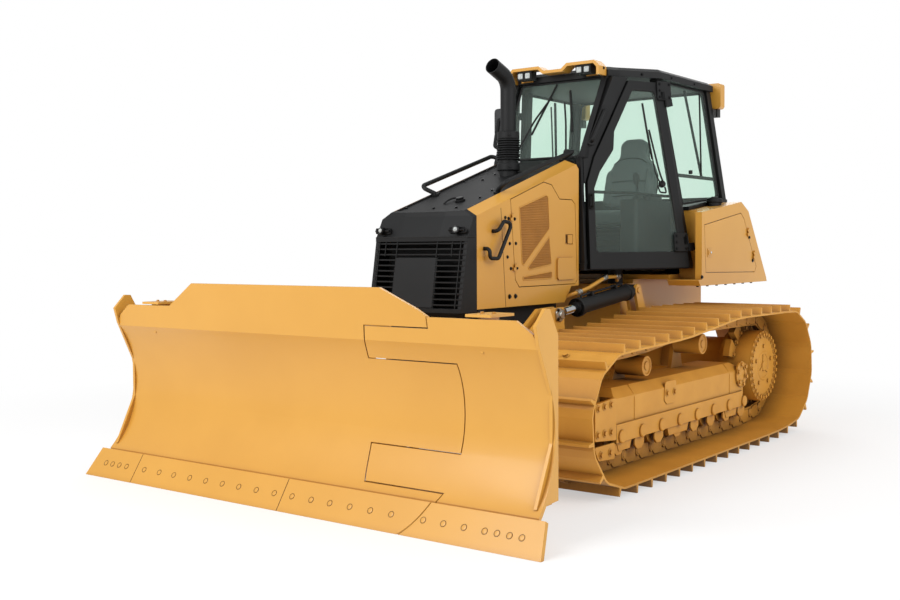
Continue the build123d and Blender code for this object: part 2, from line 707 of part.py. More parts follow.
louver_height = 9.0
louver_pitch = (grille_top - nose_bottom - 2 * grille_frame) / louver_count
blank_panel_height = 309.0
blank_low, blank_high = nose_bottom + grille_frame, nose_bottom + grille_frame + blank_panel_height
with BuildPart() as grille:
    for low in (nose_bottom, grille_top - grille_frame):
        with BuildSketch(Plane.XY.offset(low)):
            with BuildLine():
                Polyline(*nose_plan(0, cap_back, nose_front(low)), close=True)
            make_face()
        extrude(amount=grille_frame)
    with BuildSketch(Plane.XZ):
        with BuildLine():
            Polyline((cap_back, nose_bottom), (nose_front(nose_bottom) - facet_back - 2, nose_bottom),
                     (nose_front(grille_top) - facet_back - 2, grille_top), (cap_back, grille_top), close=True)
        make_face()
    extrude(amount=panel_half, both=True)
    with BuildSketch(Plane.XY.offset(nose_bottom + grille_frame)):
        with Locations((cap_back - 1, 0)):
            Rectangle(nose_lean + nose_x, 2 * (panel_half - grille_frame), align=(Align.MIN, Align.CENTER))
    extrude(amount=grille_top - nose_bottom - 2 * grille_frame, mode=Mode.SUBTRACT)
    for place in range(louver_count):
        level = nose_bottom + grille_frame + (place + 0.5) * louver_pitch
        with BuildSketch(Plane.XY.offset(level)):
            with BuildLine():
                Polyline(*nose_plan(2, cap_back, nose_front(level)), close=True)
            make_face()
            with BuildLine():
                Polyline(*nose_plan(2 + grille_depth, cap_back - 10, nose_front(level)), close=True)
            make_face(mode=Mode.SUBTRACT)
        extrude(amount=louver_height)
    with BuildSketch(Plane.XZ):
        with BuildLine():
            Polyline((nose_front(blank_low) - grille_depth, blank_low - 1), (nose_front(blank_low) - 4, blank_low - 1),
                     (nose_front(blank_high) - 4, blank_high), (nose_front(blank_high) - grille_depth, blank_high),
                     close=True)
        make_face()
    extrude(amount=facet_half + 8, both=True)
save(grille, "grille")

nose_back = 985.0
radiator_thickness = 70.0
radiator_top = 1560.0
with BuildPart() as radiator:
    with BuildSketch(Plane.YZ.offset(nose_back - radiator_thickness)):
        with Locations((0, (hull_top + radiator_top) / 2)):
            Rectangle(2 * (panel_half - panel_thickness - seat_gap), radiator_top - hull_top)
    extrude(amount=radiator_thickness)
save(radiator, "radiator")

# ---------------------------------------------------------------- exhaust and rails
stack_top = 2560.0
bellows_rings = 5
stack_radius = 54.0
stack_foot = hood_height(exhaust_x) - 4
with BuildPart() as exhaust_stack:
    with BuildSketch(Plane.XY.offset(stack_foot - 30)):
        with Locations((exhaust_x, 0)):
            Circle(exhaust_radius)
    extrude(amount=300)
    for ring in range(bellows_rings):
        with BuildSketch(Plane.XY.offset(stack_foot + 60 + ring * 32)):
            with Locations((exhaust_x, 0)):
                Circle(exhaust_radius + 8)
        extrude(amount=16)
    with BuildLine() as route:
        FilletPolyline((exhaust_x, 0, stack_foot + 250), (exhaust_x, 0, stack_top),
                       (exhaust_x + 190, 0, stack_top + 70), radius=110)
    with BuildSketch(Plane.XY.offset(stack_foot + 250)):
        with Locations((exhaust_x, 0)):
            Circle(stack_radius)
            Circle(stack_radius - 6, mode=Mode.SUBTRACT)
    sweep(path=route.line)
save(exhaust_stack, "exhaust_stack")

rail_radius = 15.0
# each rail's corners: x, y, height above the shoulders' ridge
rail_route = ((628.0, 250.0, 3.0), (676.0, 338.0, 66.0), (-190.0, 343.0, 54.0), (-176.0, 255.0, 3.0))
rail_foot, rail_foot_radius = 14.0, 24.0
hood_normal = Vector(-hood_slope.Z, 0, hood_slope.X)
# grab handle on the left front panel: x and z, from one foot to the other, and how far it stands out
grab_route = ((846.0, 1506.0), (784.0, 1568.0), (692.0, 1558.0), (846.0, 1336.0), (938.0, 1338.0), (938.0, 1398.0))
grab_out, grab_radius = 44.0, 12.0
with BuildPart() as handrails:
    for sign in (-1, 1):
        points = [(x, sign * y, hood_height(x) + lift) for x, y, lift in rail_route]
        with BuildLine() as route:
            FilletPolyline(*points, radius=34)
        with BuildSketch(Plane(points[0], z_dir=Vector(*points[1]) - Vector(*points[0]))):
            Circle(rail_radius)
        sweep(path=route.line)
        for x, y, _ in (rail_route[0], rail_route[-1]):
            foot = Vector(x, sign * y, hood_height(x) - shoulder_proud + seat_gap)
            with BuildSketch(Plane(foot, x_dir=(0, 1, 0), z_dir=hood_normal)):
                Circle(rail_foot_radius)
            extrude(amount=rail_foot)
    points = [(grab_route[0][0], panel_half + seat_gap, grab_route[0][1]),
              *[(x, panel_half + grab_out, z) for x, z in grab_route],
              (grab_route[-1][0], panel_half + seat_gap, grab_route[-1][1])]
    with BuildLine() as route:
        FilletPolyline(*points, radius=26)
    with BuildSketch(side_plane(panel_half + seat_gap)):
        with Locations(grab_route[0]):
            Circle(grab_radius)
    sweep(path=route.line)
save(handrails, "handrails")

# ---------------------------------------------------------------- cab
def plane_through(first, second, third):
    """Plane with its origin at the first corner and local x towards the second."""
    a, b, c = Vector(*first), Vector(*second), Vector(*third)
    return Plane(origin=a, x_dir=b - a, z_dir=(b - a).cross(c - a))


def on_plane(plane, corners):
    """Corners in a plane's own two coordinates."""
    return [tuple(plane.to_local_coords(Vector(*corner)))[:2] for corner in corners]


wall_half = 620.0              # cab's lower walls between the rear body's two sides
cab_rear_x = hull_rear + 235
cab_front_x = -226.0
sill_z = 1778.0                # under the rear window
head_z = roof_z - roof_thickness
cowl_top = 2030.0
door_head = (-932.0, 626.0, roof_z)    # the door's plane passes here at the roof
# posts on the left: foot x, y, z, head x, y, z, section along x and y
posts = (
    (-246.0, 380.0, 1290.3, -246.0, 345.0, cowl_top, 30.0, 40.0),
    (-284.0, 356.0, cowl_top + seat_gap, -585.0, 378.0, head_z - seat_gap, 66.0, 44.0),
    (-1171.0, 733.0, 1290.3, -988.0, 560.0, head_z - seat_gap, 72.0, 56.0),
    (cab_rear_x + 40, 694.0, sill_z + seat_gap, cab_rear_x + 125, 590.0, head_z - seat_gap, 72.0, 56.0),
)
floor_thickness = 50.0
deck_thickness = 35.0
deck_top = seat_z + seat_gap + deck_thickness
mounts_at = ((-860.0, 300.0, rear_case_top), (cab_rear_x + 75, 300.0, deck_top))
mount_pad_radius = 55.0
sill_reach = 110.0

wall_front_x = -1209.0
floor_plan = ((cab_front_x, 400.0), (-264.0, 400.0), (-264.0, 372.0), (-1100.0, 738.0), (-1130.0, 765.0),
              (wall_front_x, 765.0), (wall_front_x, wall_half), (cab_rear_x, wall_half))
sill_bend, sill_drop = cab_rear_x + 125, 24.0
sill = ((wall_front_x, 1701.0 - sill_drop), (sill_bend, sill_z - sill_drop), (cab_rear_x, sill_z - sill_drop),
        (cab_rear_x, sill_z), (sill_bend, sill_z), (wall_front_x, 1701.0))
with BuildPart() as cab_base:
    with BuildSketch(Plane.XY.offset(cab_floor_z)):
        with BuildLine():
            Polyline(*floor_plan, *[(x, -y) for x, y in reversed(floor_plan)], close=True)
        make_face()
    extrude(amount=floor_thickness)
    with BuildSketch(Plane.XY.offset(cab_floor_z + floor_thickness)):
        with Locations((cab_rear_x, 0)):
            Rectangle(cab_wall, 2 * wall_half, align=(Align.MIN, Align.CENTER))
    extrude(amount=sill_z - cab_floor_z - floor_thickness)
    for side, sign in SIDES:
        with BuildSketch(side_plane(sign * (wall_half - cab_wall))):
            with BuildLine():
                Polyline((wall_front_x, cab_floor_z), *reversed(sill[3:]), (cab_rear_x, cab_floor_z), close=True)
            make_face()
        extrude(amount=-sign * cab_wall)
        with BuildSketch(side_plane(sign * wall_half)):
            with BuildLine():
                Polyline(*sill, close=True)
            make_face()
        extrude(amount=-sign * sill_reach)
    with BuildSketch(Plane.XY.offset(cab_floor_z + floor_thickness)):
        with Locations((cab_front_x - 20, 0)):
            Rectangle(30, 2 * 320)
    extrude(amount=cowl_top - 24 - cab_floor_z - floor_thickness)
    for x, y, base in mounts_at:
        with BuildSketch(Plane.XY.offset(base + seat_gap)):
            for sign in (-1, 1):
                with Locations((x, sign * y)):
                    Circle(mount_pad_radius)
        extrude(amount=cab_floor_z - base - seat_gap)
save(cab_base, "cab_base")

door_outside = plane_through((*door_front, cab_floor_z), (*door_rear, cab_floor_z), door_head)
door_plane = door_outside.offset(-door_thickness)
door_outline = ((60.0, 10.0), (968.0, 10.0), (752.0, 1360.0), (455.0, 1360.0), (128.0, 800.0), (60.0, 620.0))
door_axis_out, door_axis_back = 10.0, 6.0
axis_foot, axis_head = [
    door_outside.from_local_coords(Vector(x + door_axis_back, y, door_axis_out))
    for x, y in door_outline[1:3]]
door_axis = Plane(origin=axis_foot, x_dir=door_outside.x_dir, z_dir=axis_head - axis_foot)
door_hinges = (120.0, 1190.0)          # heights along the axis of the two hinges' fixed halves
hinge_length = 56.0
door_pin = 5.0
door_bracket = ((-1.0, -8.0), (56.0, -8.0), (56.0, 72.0), (10.0, 72.0), (10.0, 8.0), (-1.0, 8.0))

# the wide pillar between windscreen and door: height along the door, its front and rear there, depth
pillar = ((612.0, 40.0, 50.0, 26.0), (800.0, 40.0, 119.0, 34.0), (1384.0, 325.0, 459.0, 84.0))
pillar_back = 14.0
side_pane = ((-1172, 690, 1716), (cab_rear_x + 82, 691, sill_z + 6), (cab_rear_x + 165, 592, head_z - 1),
             (-1030, 578, head_z - 1))
# the side window's frame: corners x, z of the bar under the sliding panes and of the bar between them
window_bars = (((-1105, 1952), (-1105, 1928), (cab_rear_x + 60, 1924), (cab_rear_x + 60, 1948)),
               ((-1432, 2612), (-1450, 2612), (-1600, 1945), (-1582, 1945)))
bar_proud = 14.0

with BuildPart() as cab_posts:
    for foot_x, foot_y, foot_z, head_x, head_y, top_z, along, across in posts:
        for x, y, z in ((foot_x, foot_y, foot_z), (head_x, head_y, top_z)):
            with BuildSketch(Plane.XY.offset(z)):
                with Locations((x, y)):
                    Rectangle(along, across)
        loft()
    for lower, upper in zip(pillar, pillar[1:]):
        for height, front, rear, depth in (lower, upper):
            section = Plane(door_outside.from_local_coords(Vector(0, height, 0)), x_dir=door_outside.x_dir,
                            z_dir=door_outside.y_dir)
            with BuildSketch(section):
                with Locations((front, pillar_back)):
                    Rectangle(rear - front, depth, align=(Align.MIN, Align.MIN))
        loft()
    pane_plane = plane_through(*side_pane[:3])
    frame_plane = pane_plane.offset(-glass_thickness / 2 - seat_gap)
    for bar in window_bars:
        with BuildSketch(frame_plane):
            with BuildLine():
                Polyline(*on_plane(pane_plane, [(x, 660, z) for x, z in bar]), close=True)
            make_face()
        extrude(amount=-bar_proud)
    for height in door_hinges:
        with BuildSketch(door_axis.offset(height)):
            with BuildLine():
                Polyline(*door_bracket, close=True)
            make_face()
        extrude(amount=hinge_length)
        with BuildSketch(door_axis.offset(height)):
            Circle(door_pin)
        extrude(amount=2 * hinge_length)
    mirror(about=Plane.XZ)
save(cab_posts, "cab_posts")

roof_plan = ((-560, 402), (-650, 445), (-932, 640), (cab_rear_x + 85, 640), (cab_rear_x + 30, 560))
roof_bevel = 40.0
with BuildPart() as cab_roof:
    full = [*roof_plan] + [(x, -y) for x, y in reversed(roof_plan)]
    with BuildSketch(Plane.XY.offset(head_z)):
        with BuildLine():
            Polyline(*full, close=True)
        make_face()
    extrude(amount=roof_thickness - 26)
    with BuildSketch(Plane.XY.offset(roof_z - 26)):
        with BuildLine():
            Polyline(*full, close=True)
        make_face()
    with BuildSketch(Plane.XY.offset(roof_z)):
        with BuildLine():
            Polyline(*full, close=True)
        make_face()
        offset(amount=-roof_bevel)
    loft()
save(cab_roof, "cab_roof")

# Doors: one slanted, leaning plate each, with the window cut and a glass pane in it
door_window = ((112.0, 120.0), (892.0, 120.0), (698.0, 1300.0), (484.0, 1300.0), (304.0, 990.0),
               (292.0, 860.0), (166.0, 700.0), (112.0, 580.0))
door_window_round = 36.0
for side, sign in SIDES:
    with BuildPart() as door:
        with BuildSketch(door_plane):
            with BuildLine():
                Polyline(*door_outline, close=True)
            make_face()
        extrude(amount=door_thickness, dir=door_plane.z_dir)
        with BuildSketch(door_plane):
            with BuildLine():
                Polyline(*door_window, close=True)
            make_face()
            fillet(vertices(), door_window_round)
        extrude(amount=door_thickness, dir=door_plane.z_dir, mode=Mode.SUBTRACT)
        for height in door_hinges:
            hinge_leaf(door_axis, height + hinge_length + seat_gap, hinge_length, 0, -40, 9, door_axis_out + 1,
                       bore=door_pin + running_gap)
        if sign < 0:
            mirror(about=Plane.XZ)
            split(bisect_by=Plane.XZ, keep=Keep.TOP)
    with BuildPart() as pane:
        with BuildSketch(door_plane.offset(door_thickness / 2)):
            with BuildLine():
                Polyline(*door_window, close=True)
            make_face()
            fillet(vertices(), door_window_round)
        extrude(amount=glass_thickness, dir=door_plane.z_dir)
        if sign < 0:
            mirror(about=Plane.XZ)
            split(bisect_by=Plane.XZ, keep=Keep.TOP)
    save(door, f"cab_door_{side}")
    save(pane, f"door_glass_{side}")

# Fixed glass: windscreen, side panes and rear pane, each by its corners
screen = ((-284, -330, cowl_top + 4), (-284, 330, cowl_top + 4), (-592, 350, head_z - 2.7), (-592, -350, head_z - 2.7))
pane_foot_x, pane_head_x = cab_rear_x + 22, cab_rear_x + 103
rear_pane = ((pane_foot_x, -660, sill_z + 4), (pane_foot_x, 660, sill_z + 4),
             (pane_head_x, 556, head_z - 0.7), (pane_head_x, -556, head_z - 0.7))
with BuildPart() as cab_glass:
    for corners in (screen, rear_pane, side_pane, [(x, -y, z) for x, y, z in side_pane]):
        plane = plane_through(*corners[:3])
        with BuildSketch(plane.offset(-glass_thickness / 2)):
            with BuildLine():
                Polyline(*on_plane(plane, corners), close=True)
            make_face()
        extrude(amount=glass_thickness, dir=plane.z_dir)
save(cab_glass, "cab_glass")

seat_x, seat_half, seat_base_top, cushion_top, back_top = cab_rear_x + 595, 240.0, 1560.0, 1700.0, 2330.0
with BuildPart() as seat:
    with BuildSketch(Plane.XY.offset(cab_floor_z + floor_thickness + seat_gap)):
        with Locations((seat_x, 0)):
            Rectangle(380, 360)
    extrude(amount=seat_base_top - cab_floor_z - floor_thickness)
    with BuildSketch(Plane.XY.offset(seat_base_top)):
        with Locations((seat_x + 20, 0)):
            RectangleRounded(520, 2 * seat_half, 60)
    extrude(amount=cushion_top - seat_base_top)
    with BuildSketch(Plane.XZ):
        with BuildLine():
            Polyline((seat_x - 150, cushion_top - 20), (seat_x - 260, cushion_top - 20),
                     (seat_x - 370, back_top), (seat_x - 270, back_top), close=True)
        make_face()
    extrude(amount=seat_half - 20, both=True)
save(seat, "seat")

with BuildPart() as consoles:
    for sign in (-1, 1):
        with BuildSketch(Plane.XY.offset(cab_floor_z + floor_thickness + seat_gap)):
            with Locations((seat_x + 60, sign * 350)):
                RectangleRounded(620, 150, 30)
        extrude(amount=1760 - cab_floor_z - floor_thickness)
    with BuildSketch(Plane.XY.offset(cab_floor_z + floor_thickness + seat_gap)):
        with Locations((-365, 0)):
            Rectangle(160, 540)
    extrude(amount=1930 - cab_floor_z - floor_thickness)
save(consoles, "consoles")

# Yellow visor over the windscreen and lamp pods at the roof's rear corners
visor_rear, visor_front = -559.7, -450.0
visor_half, visor_crown = 388.0, 104.0
visor_sheet = 22.0
visor_top = head_z + 10 + roof_thickness + 24
hood_step, hood_side = 36.0, 120.0         # each lamp's hood stands above the middle strip and beyond it
visor_line = ((0, visor_top - hood_step), (hood_side - 46, visor_top - hood_step), (hood_side, visor_top),
              (visor_half - 40, visor_top), (visor_half, visor_top - 42), (visor_half, visor_top - visor_crown))
pod_middle, pod_width, pod_depth, pod_low, pod_high = 616.0, 132.0, 78.0, head_z - 128, head_z + 74
pod_front = cab_rear_x + 30 - seat_gap
with BuildPart() as lamp_pods:
    with BuildSketch(Plane.YZ.offset(visor_rear)):
        with BuildLine():
            Polyline((0, visor_top - hood_step - visor_sheet), *visor_line,
                     (visor_half - visor_sheet, visor_top - visor_crown),
                     (visor_half - visor_sheet, visor_top - 50), (visor_half - 48, visor_top - visor_sheet),
                     (hood_side + 6, visor_top - visor_sheet), (hood_side - 36, visor_top - hood_step - visor_sheet),
                     close=True)
        make_face()
    extrude(amount=visor_front - visor_rear)
    with BuildSketch(Plane.YZ.offset(visor_rear)):
        with Locations((visor_half - 60, head_z + 10 + roof_thickness / 2)):
            Rectangle(120 - visor_sheet, roof_thickness, align=(Align.MAX, Align.CENTER))
    extrude(amount=12)
    mirror(about=Plane.XZ)
    for sign in (-1, 1):
        with BuildSketch(Plane.YZ.offset(pod_front)):
            with Locations((sign * pod_middle, (pod_low + pod_high) / 2)):
                RectangleRounded(pod_width, pod_high - pod_low, 24)
        extrude(amount=-pod_depth)
save(lamp_pods, "lamp_pods")

lamp_width, lamp_height, lamp_depth = 124.0, 66.0, 70.0
with BuildPart() as lamps:
    for sign in (-1, 1):
        with BuildSketch(Plane.YZ.offset(visor_front - 16)):
            with Locations((sign * 250, visor_top - visor_sheet - seat_gap)):
                Rectangle(lamp_width, lamp_height, align=(Align.CENTER, Align.MAX))
        extrude(amount=-lamp_depth)
        with BuildSketch(Plane.XY.offset(pod_low - seat_gap)):
            with Locations((pod_front - pod_depth / 2, sign * pod_middle)):
                Rectangle(58, 70)
        extrude(amount=-64)
save(lamps, "lamps")

# ---------------------------------------------------------------- rear body: tank and fenders
body_low = 1116.0
tail = ((hull_rear + 215, 1680), (hull_rear - 170, 1150), (hull_rear - 185, body_low))
body_outline = ((-1010, 1155), (-1030, 1650), (hull_rear + 360, 1750), *tail, (-1040, body_low))
body_inner = 650.0
service_door = ((-1140.0, 1215.0), (-1110.0, 1560.0), (hull_rear + 370, 1660.0), (hull_rear + 310, 1620.0),
                (hull_rear + 50, 1240.0), (hull_rear + 80, 1200.0))
service_depth = 14.0
compartment_depth = 34.0
compartment_inset = 26.0
# the front of each side stands clear of the open cab door: x, y
door_pocket = ((-1000.0, 910.0), (-1062.0, 910.0), (-1072.0, 845.0), (-1216.0, 845.0), (-1216.0, 640.0),
               (-1000.0, 640.0))

service_foot, service_head = [Vector(x, 0, z) for x, z in (service_door[4], service_door[3])]
service_rise = (service_head - service_foot).normalized()
service_back = Vector(-service_rise.Z, 0, service_rise.X)
service_axis = {side: Plane(origin=service_foot + hinge_past * service_back
                            + Vector(0, sign * (body_half + hinge_out), 0),
                            x_dir=-service_back, z_dir=-sign * service_rise) for side, sign in SIDES}
service_hinges = (110.0, 330.0)

with BuildPart() as rear_body:
    for side, sign in SIDES:
        with BuildSketch(side_plane(sign * body_half)):
            with BuildLine():
                Polyline(*body_outline, close=True)
            make_face()
        extrude(amount=sign * (body_half - body_inner))
        with BuildSketch(Plane.XY.offset(seat_z)):
            with BuildLine():
                Polyline(*[(x, sign * y) for x, y in door_pocket], close=True)
            make_face()
        extrude(amount=700, mode=Mode.SUBTRACT)
        with BuildSketch(side_plane(sign * body_half)):
            with BuildLine():
                Polyline(*service_door, close=True)
            make_face()
            offset(amount=door_seam)
        extrude(amount=sign * service_depth, mode=Mode.SUBTRACT)
        with BuildSketch(side_plane(sign * (body_half - service_depth))):
            with BuildLine():
                Polyline(*service_door, close=True)
            make_face()
            offset(amount=-compartment_inset)
        extrude(amount=sign * compartment_depth, mode=Mode.SUBTRACT)
        for height in service_hinges:
            hinge_leaf(service_axis[side], -sign * height - 24, 24, 48, -26, 6.5, 9, pin=panel_pin)
    with BuildSketch(Plane.XZ):
        with BuildLine():
            Polyline((cab_rear_x - 12, deck_top - 1), (cab_rear_x - 12, 1680), *tail,
                     (column_rear - 6, body_low), (column_rear - 6, deck_top - 1), close=True)
        make_face()
    extrude(amount=body_inner, both=True)
    with BuildSketch(Plane.XY.offset(seat_z + seat_gap)):
        with Locations((-1040, 0)):
            Rectangle(-column_rear + 8 - 1040, 2 * body_inner + 2, align=(Align.MAX, Align.CENTER))
    extrude(amount=deck_thickness)
save(rear_body, "rear_body")

for side, sign in SIDES:
    with BuildPart() as door:
        with BuildSketch(side_plane(sign * body_half)):
            with BuildLine():
                Polyline(*service_door, close=True)
            make_face()
        extrude(amount=sign * (service_depth - seat_gap))
        for height in service_hinges:
            hinge_leaf(service_axis[side], -sign * height + seat_gap, 24, 0, 26, 6.5, 9, bore=panel_pin + running_gap)
    save(door, f"service_door_{side}")

# ---------------------------------------------------------------- C-frame
arm_low, arm_high = 370.0, 490.0
nose_low, nose_high = 330.0, 470.0
arm_front = blade_pivot_x - 250
nose_half, nose_front = 190.0, blade_pivot_x - 105
fork_low, fork_high = (295.0, 325.0), (475.0, 505.0)
fork_reach = 100.0
tower = ((180.0, 478.0), (330.0, 786.0), (342.0, 900.0), (352.0, 1016.0), (543.0, 1010.0), (722.0, 895.0),
         (800.0, 470.0))
tower_plate = 26.0
push_bush = 74.0
king_pin_radius = 45.0         # vertical pin between the fork's two plates
angle_ear = 24.0

with BuildPart() as c_frame:
    for side, sign in SIDES:
        with BuildSketch(side_plane(sign * arm_middle)):
            with BuildLine():
                Polyline((push_pin_x, arm_low), (arm_front, nose_low), (arm_front, nose_high),
                         (push_pin_x, arm_high), close=True)
            make_face()
            with Locations((push_pin_x, push_pin_z)):
                Circle(push_bush)
                Circle(push_pin_radius + running_gap, mode=Mode.SUBTRACT)
        extrude(amount=(arm_out - arm_in) / 2, both=True)
        for ear in (-1, 1):
            with BuildSketch(side_plane(sign * arm_middle + ear * (eye_gap + tower_plate) / 2)):
                with BuildLine():
                    Polyline(*tower, close=True)
                make_face()
                with Locations(lift_rod_pin):
                    Circle(46)
            extrude(amount=tower_plate / 2, both=True)
        with BuildSketch(side_plane(sign * arm_middle)):
            with BuildLine():
                Polyline((520, 465), (560, 880), (700, 860), (770, 465), close=True)
            make_face()
        extrude(amount=eye_gap / 2 + 1, both=True)
        for level in (-1, 1):
            ear_z = angle_z + level * (eye_gap + angle_ear) / 2
            with BuildSketch(Plane.XY.offset(ear_z)):
                with Locations((angle_barrel_pin[0], sign * angle_barrel_pin[1])):
                    Circle(44)
                with Locations((angle_barrel_pin[0], sign * angle_barrel_pin[1])):
                    Rectangle(76, arm_out - angle_barrel_pin[1],
                              align=(Align.CENTER, Align.MIN if sign > 0 else Align.MAX))
            extrude(amount=angle_ear / 2, both=True)
        with BuildSketch(Plane.XY.offset(angle_z)):
            with Locations((angle_barrel_pin[0], sign * angle_barrel_pin[1])):
                Circle(barrel_pins["angle"])
        extrude(amount=eye_gap / 2 + angle_ear + 8, both=True)
        with BuildSketch(side_plane(sign * (arm_out - 10))):
            with BuildLine():
                Polyline((angle_barrel_pin[0] - 80, 460), (angle_barrel_pin[0] - 30, angle_z + 47),
                         (angle_barrel_pin[0] + 50, angle_z + 47), (angle_barrel_pin[0] + 160, 460), close=True)
            make_face()
        extrude(amount=10, both=True)
    with BuildSketch(Plane.XY.offset(nose_low)):
        with BuildLine():
            Polyline((arm_front, arm_out), (nose_front + 60, nose_half), (nose_front, nose_half - 40),
                     (nose_front, 40 - nose_half), (nose_front + 60, -nose_half), (arm_front, -arm_out),
                     (arm_front - 60, -arm_out), (arm_front - 60, -arm_in), (arm_front, -arm_in),
                     (nose_front - 150, 40 - nose_half), (nose_front - 150, nose_half - 40),
                     (arm_front, arm_in), (arm_front - 60, arm_in), (arm_front - 60, arm_out), close=True)
        make_face()
    extrude(amount=nose_high - nose_low)
    for low, high in (fork_low, fork_high):
        with BuildSketch(Plane.XY.offset(low)):
            with BuildLine():
                Polyline((nose_front - 180, nose_half), (nose_front + 30, nose_half),
                         (blade_pivot_x, fork_reach), (blade_pivot_x, -fork_reach),
                         (nose_front + 30, -nose_half), (nose_front - 180, -nose_half), close=True)
            make_face()
            with Locations((blade_pivot_x, 0)):
                Circle(fork_reach)
        extrude(amount=high - low)
    with BuildSketch(Plane.XY.offset(nose_low - 6)):
        with Locations((nose_front - 60, 0)):
            Rectangle(100, 2 * nose_half - 90)
    extrude(amount=nose_high - nose_low + 12)
    with BuildSketch(Plane.XY.offset(fork_low[0] - 12)):
        with Locations((blade_pivot_x, 0)):
            Circle(king_pin_radius)
    extrude(amount=fork_high[1] - fork_low[0] + 24)
save(c_frame, "c_frame")

# ---------------------------------------------------------------- blade pivot (trunnion)
pivot_play = 5.0
hub_half = (fork_high[0] - fork_low[1]) / 2 - pivot_play
hub_z = (fork_high[0] + fork_low[1]) / 2
pivot_hub_radius = 84.0
yoke_back, yoke_front, yoke_half = blade_pivot_x + 150, blade_pivot_x + 280, 465.0
yoke_low, yoke_high = 335.0, 530.0
tilt_pin_radius = 70.0
tilt_pin_end = blade_pivot_x + 386
tilt_ear = 22.0

with BuildPart() as blade_pivot:
    with BuildSketch(Plane.XY.offset(hub_z)):
        with Locations((blade_pivot_x, 0)):
            Circle(pivot_hub_radius)
        with Locations(((blade_pivot_x + yoke_back) / 2 + 10, 0)):
            Rectangle(yoke_back - blade_pivot_x + 20, 150)
        with Locations((blade_pivot_x, 0)):
            Circle(king_pin_radius + running_gap, mode=Mode.SUBTRACT)
    extrude(amount=hub_half, both=True)
    with BuildSketch(Plane.XY.offset(yoke_low)):
        with BuildLine():
            Polyline((yoke_back, -150), (yoke_back, 150), (yoke_back + 70, yoke_half), (yoke_front, yoke_half),
                     (yoke_front, -yoke_half), (yoke_back + 70, -yoke_half), close=True)
        make_face()
    extrude(amount=yoke_high - yoke_low)
    with BuildSketch(Plane.YZ.offset(yoke_front)):
        with Locations((0, tilt_z)):
            Circle(tilt_pin_radius)
    extrude(amount=tilt_pin_end - yoke_front)
    for sign in (-1, 1):
        for level in (-1, 1):
            ear_z = angle_z + level * (eye_gap + angle_ear) / 2
            with BuildSketch(Plane.XY.offset(ear_z)):
                with Locations((angle_rod_pin[0], sign * angle_rod_pin[1])):
                    Circle(42)
                with Locations((angle_rod_pin[0], sign * angle_rod_pin[1])):
                    Rectangle(yoke_front - angle_rod_pin[0], 84, align=(Align.MIN, Align.CENTER))
            extrude(amount=angle_ear / 2, both=True)
        with BuildSketch(Plane.YZ.offset(yoke_front)):
            with Locations((sign * angle_rod_pin[1], (yoke_high + angle_z + 47) / 2 - 2)):
                Rectangle(84, angle_z + 47 - yoke_high + 4)
        extrude(amount=-22)
    for ear in (-1, 1):
        ear_x = tilt_cylinder_x + ear * (eye_gap + tilt_ear) / 2
        with BuildSketch(Plane.YZ.offset(ear_x)):
            with BuildLine():
                Polyline((tilt_barrel_y - 70, yoke_high + 110), (tilt_barrel_y + 70, yoke_high + 110),
                         (tilt_barrel_y + 40, tilt_cylinder_z), (tilt_barrel_y - 40, tilt_cylinder_z), close=True)
            make_face()
            with Locations((tilt_barrel_y, tilt_cylinder_z)):
                Circle(44)
        extrude(amount=tilt_ear / 2, both=True)
    with BuildSketch(Plane.YZ.offset(tilt_cylinder_x)):
        with Locations((tilt_barrel_y, tilt_cylinder_z)):
            Circle(barrel_pins["tilt"])
    extrude(amount=eye_gap / 2 + tilt_ear + 6, both=True)
    with BuildSketch(Plane.XZ.offset(-(tilt_barrel_y - 70))):
        with BuildLine():
            Polyline((yoke_front - 90, yoke_high - 5), (yoke_front, yoke_high - 5),
                     (tilt_cylinder_x + eye_gap / 2 + tilt_ear, yoke_high + 100),
                     (tilt_cylinder_x + eye_gap / 2 + tilt_ear, yoke_high + 160),
                     (tilt_cylinder_x - eye_gap / 2 - tilt_ear, yoke_high + 160), close=True)
        make_face()
    extrude(amount=-140)
save(blade_pivot, "blade_pivot")

# ---------------------------------------------------------------- blade, its wing and cutting edges
tip = half_length              # the cutting edge's tip, from which the blade's section is drawn
edge_top, edge_thickness = (tip - 104, 158.0), 22.0
edge_run = math.dist(edge_top, (tip, 0.0))
edge_dir = ((tip - edge_top[0]) / edge_run, -edge_top[1] / edge_run)
edge_back = (edge_top[0] + edge_thickness * edge_dir[1], edge_top[1] - edge_thickness * edge_dir[0])
edge_back_tip_x = edge_back[0] - edge_back[1] * edge_dir[0] / edge_dir[1]
lip_gap = seat_gap
lip_length = 118.0


def behind_edge(depth, down):
    """A point behind the cutting edge's back face, a distance down along it from its top."""
    x = edge_back[0] + down * edge_dir[0] + depth * edge_dir[1]
    z = edge_back[1] + down * edge_dir[1] - depth * edge_dir[0]
    return (x, z)


# the moldboard's front face: foot, deepest point, shoulder, top
face_foot, face_deep, face_shoulder, face_top = (tip - 126, 160), (tip - 297, 560), (tip - 180, 930), (tip - 150, 1220)


def moldboard_section(grow):
    """Draw the moldboard's curved section, thickened to the back by the given amount."""
    Polyline(behind_edge(lip_gap, lip_length), behind_edge(lip_gap, 0), face_foot)
    ThreePointArc(face_foot, face_deep, face_shoulder)
    Polyline(face_shoulder, face_top, (face_top[0] - grow, face_top[1]), (face_shoulder[0] - grow, face_shoulder[1]))
    ThreePointArc((face_shoulder[0] - grow, face_shoulder[1]), (face_deep[0] - grow, face_deep[1]),
                  (face_foot[0] - grow, face_foot[1] - 10))
    Polyline((face_foot[0] - grow, face_foot[1] - 10), behind_edge(lip_gap + grow, lip_length),
             behind_edge(lip_gap, lip_length))


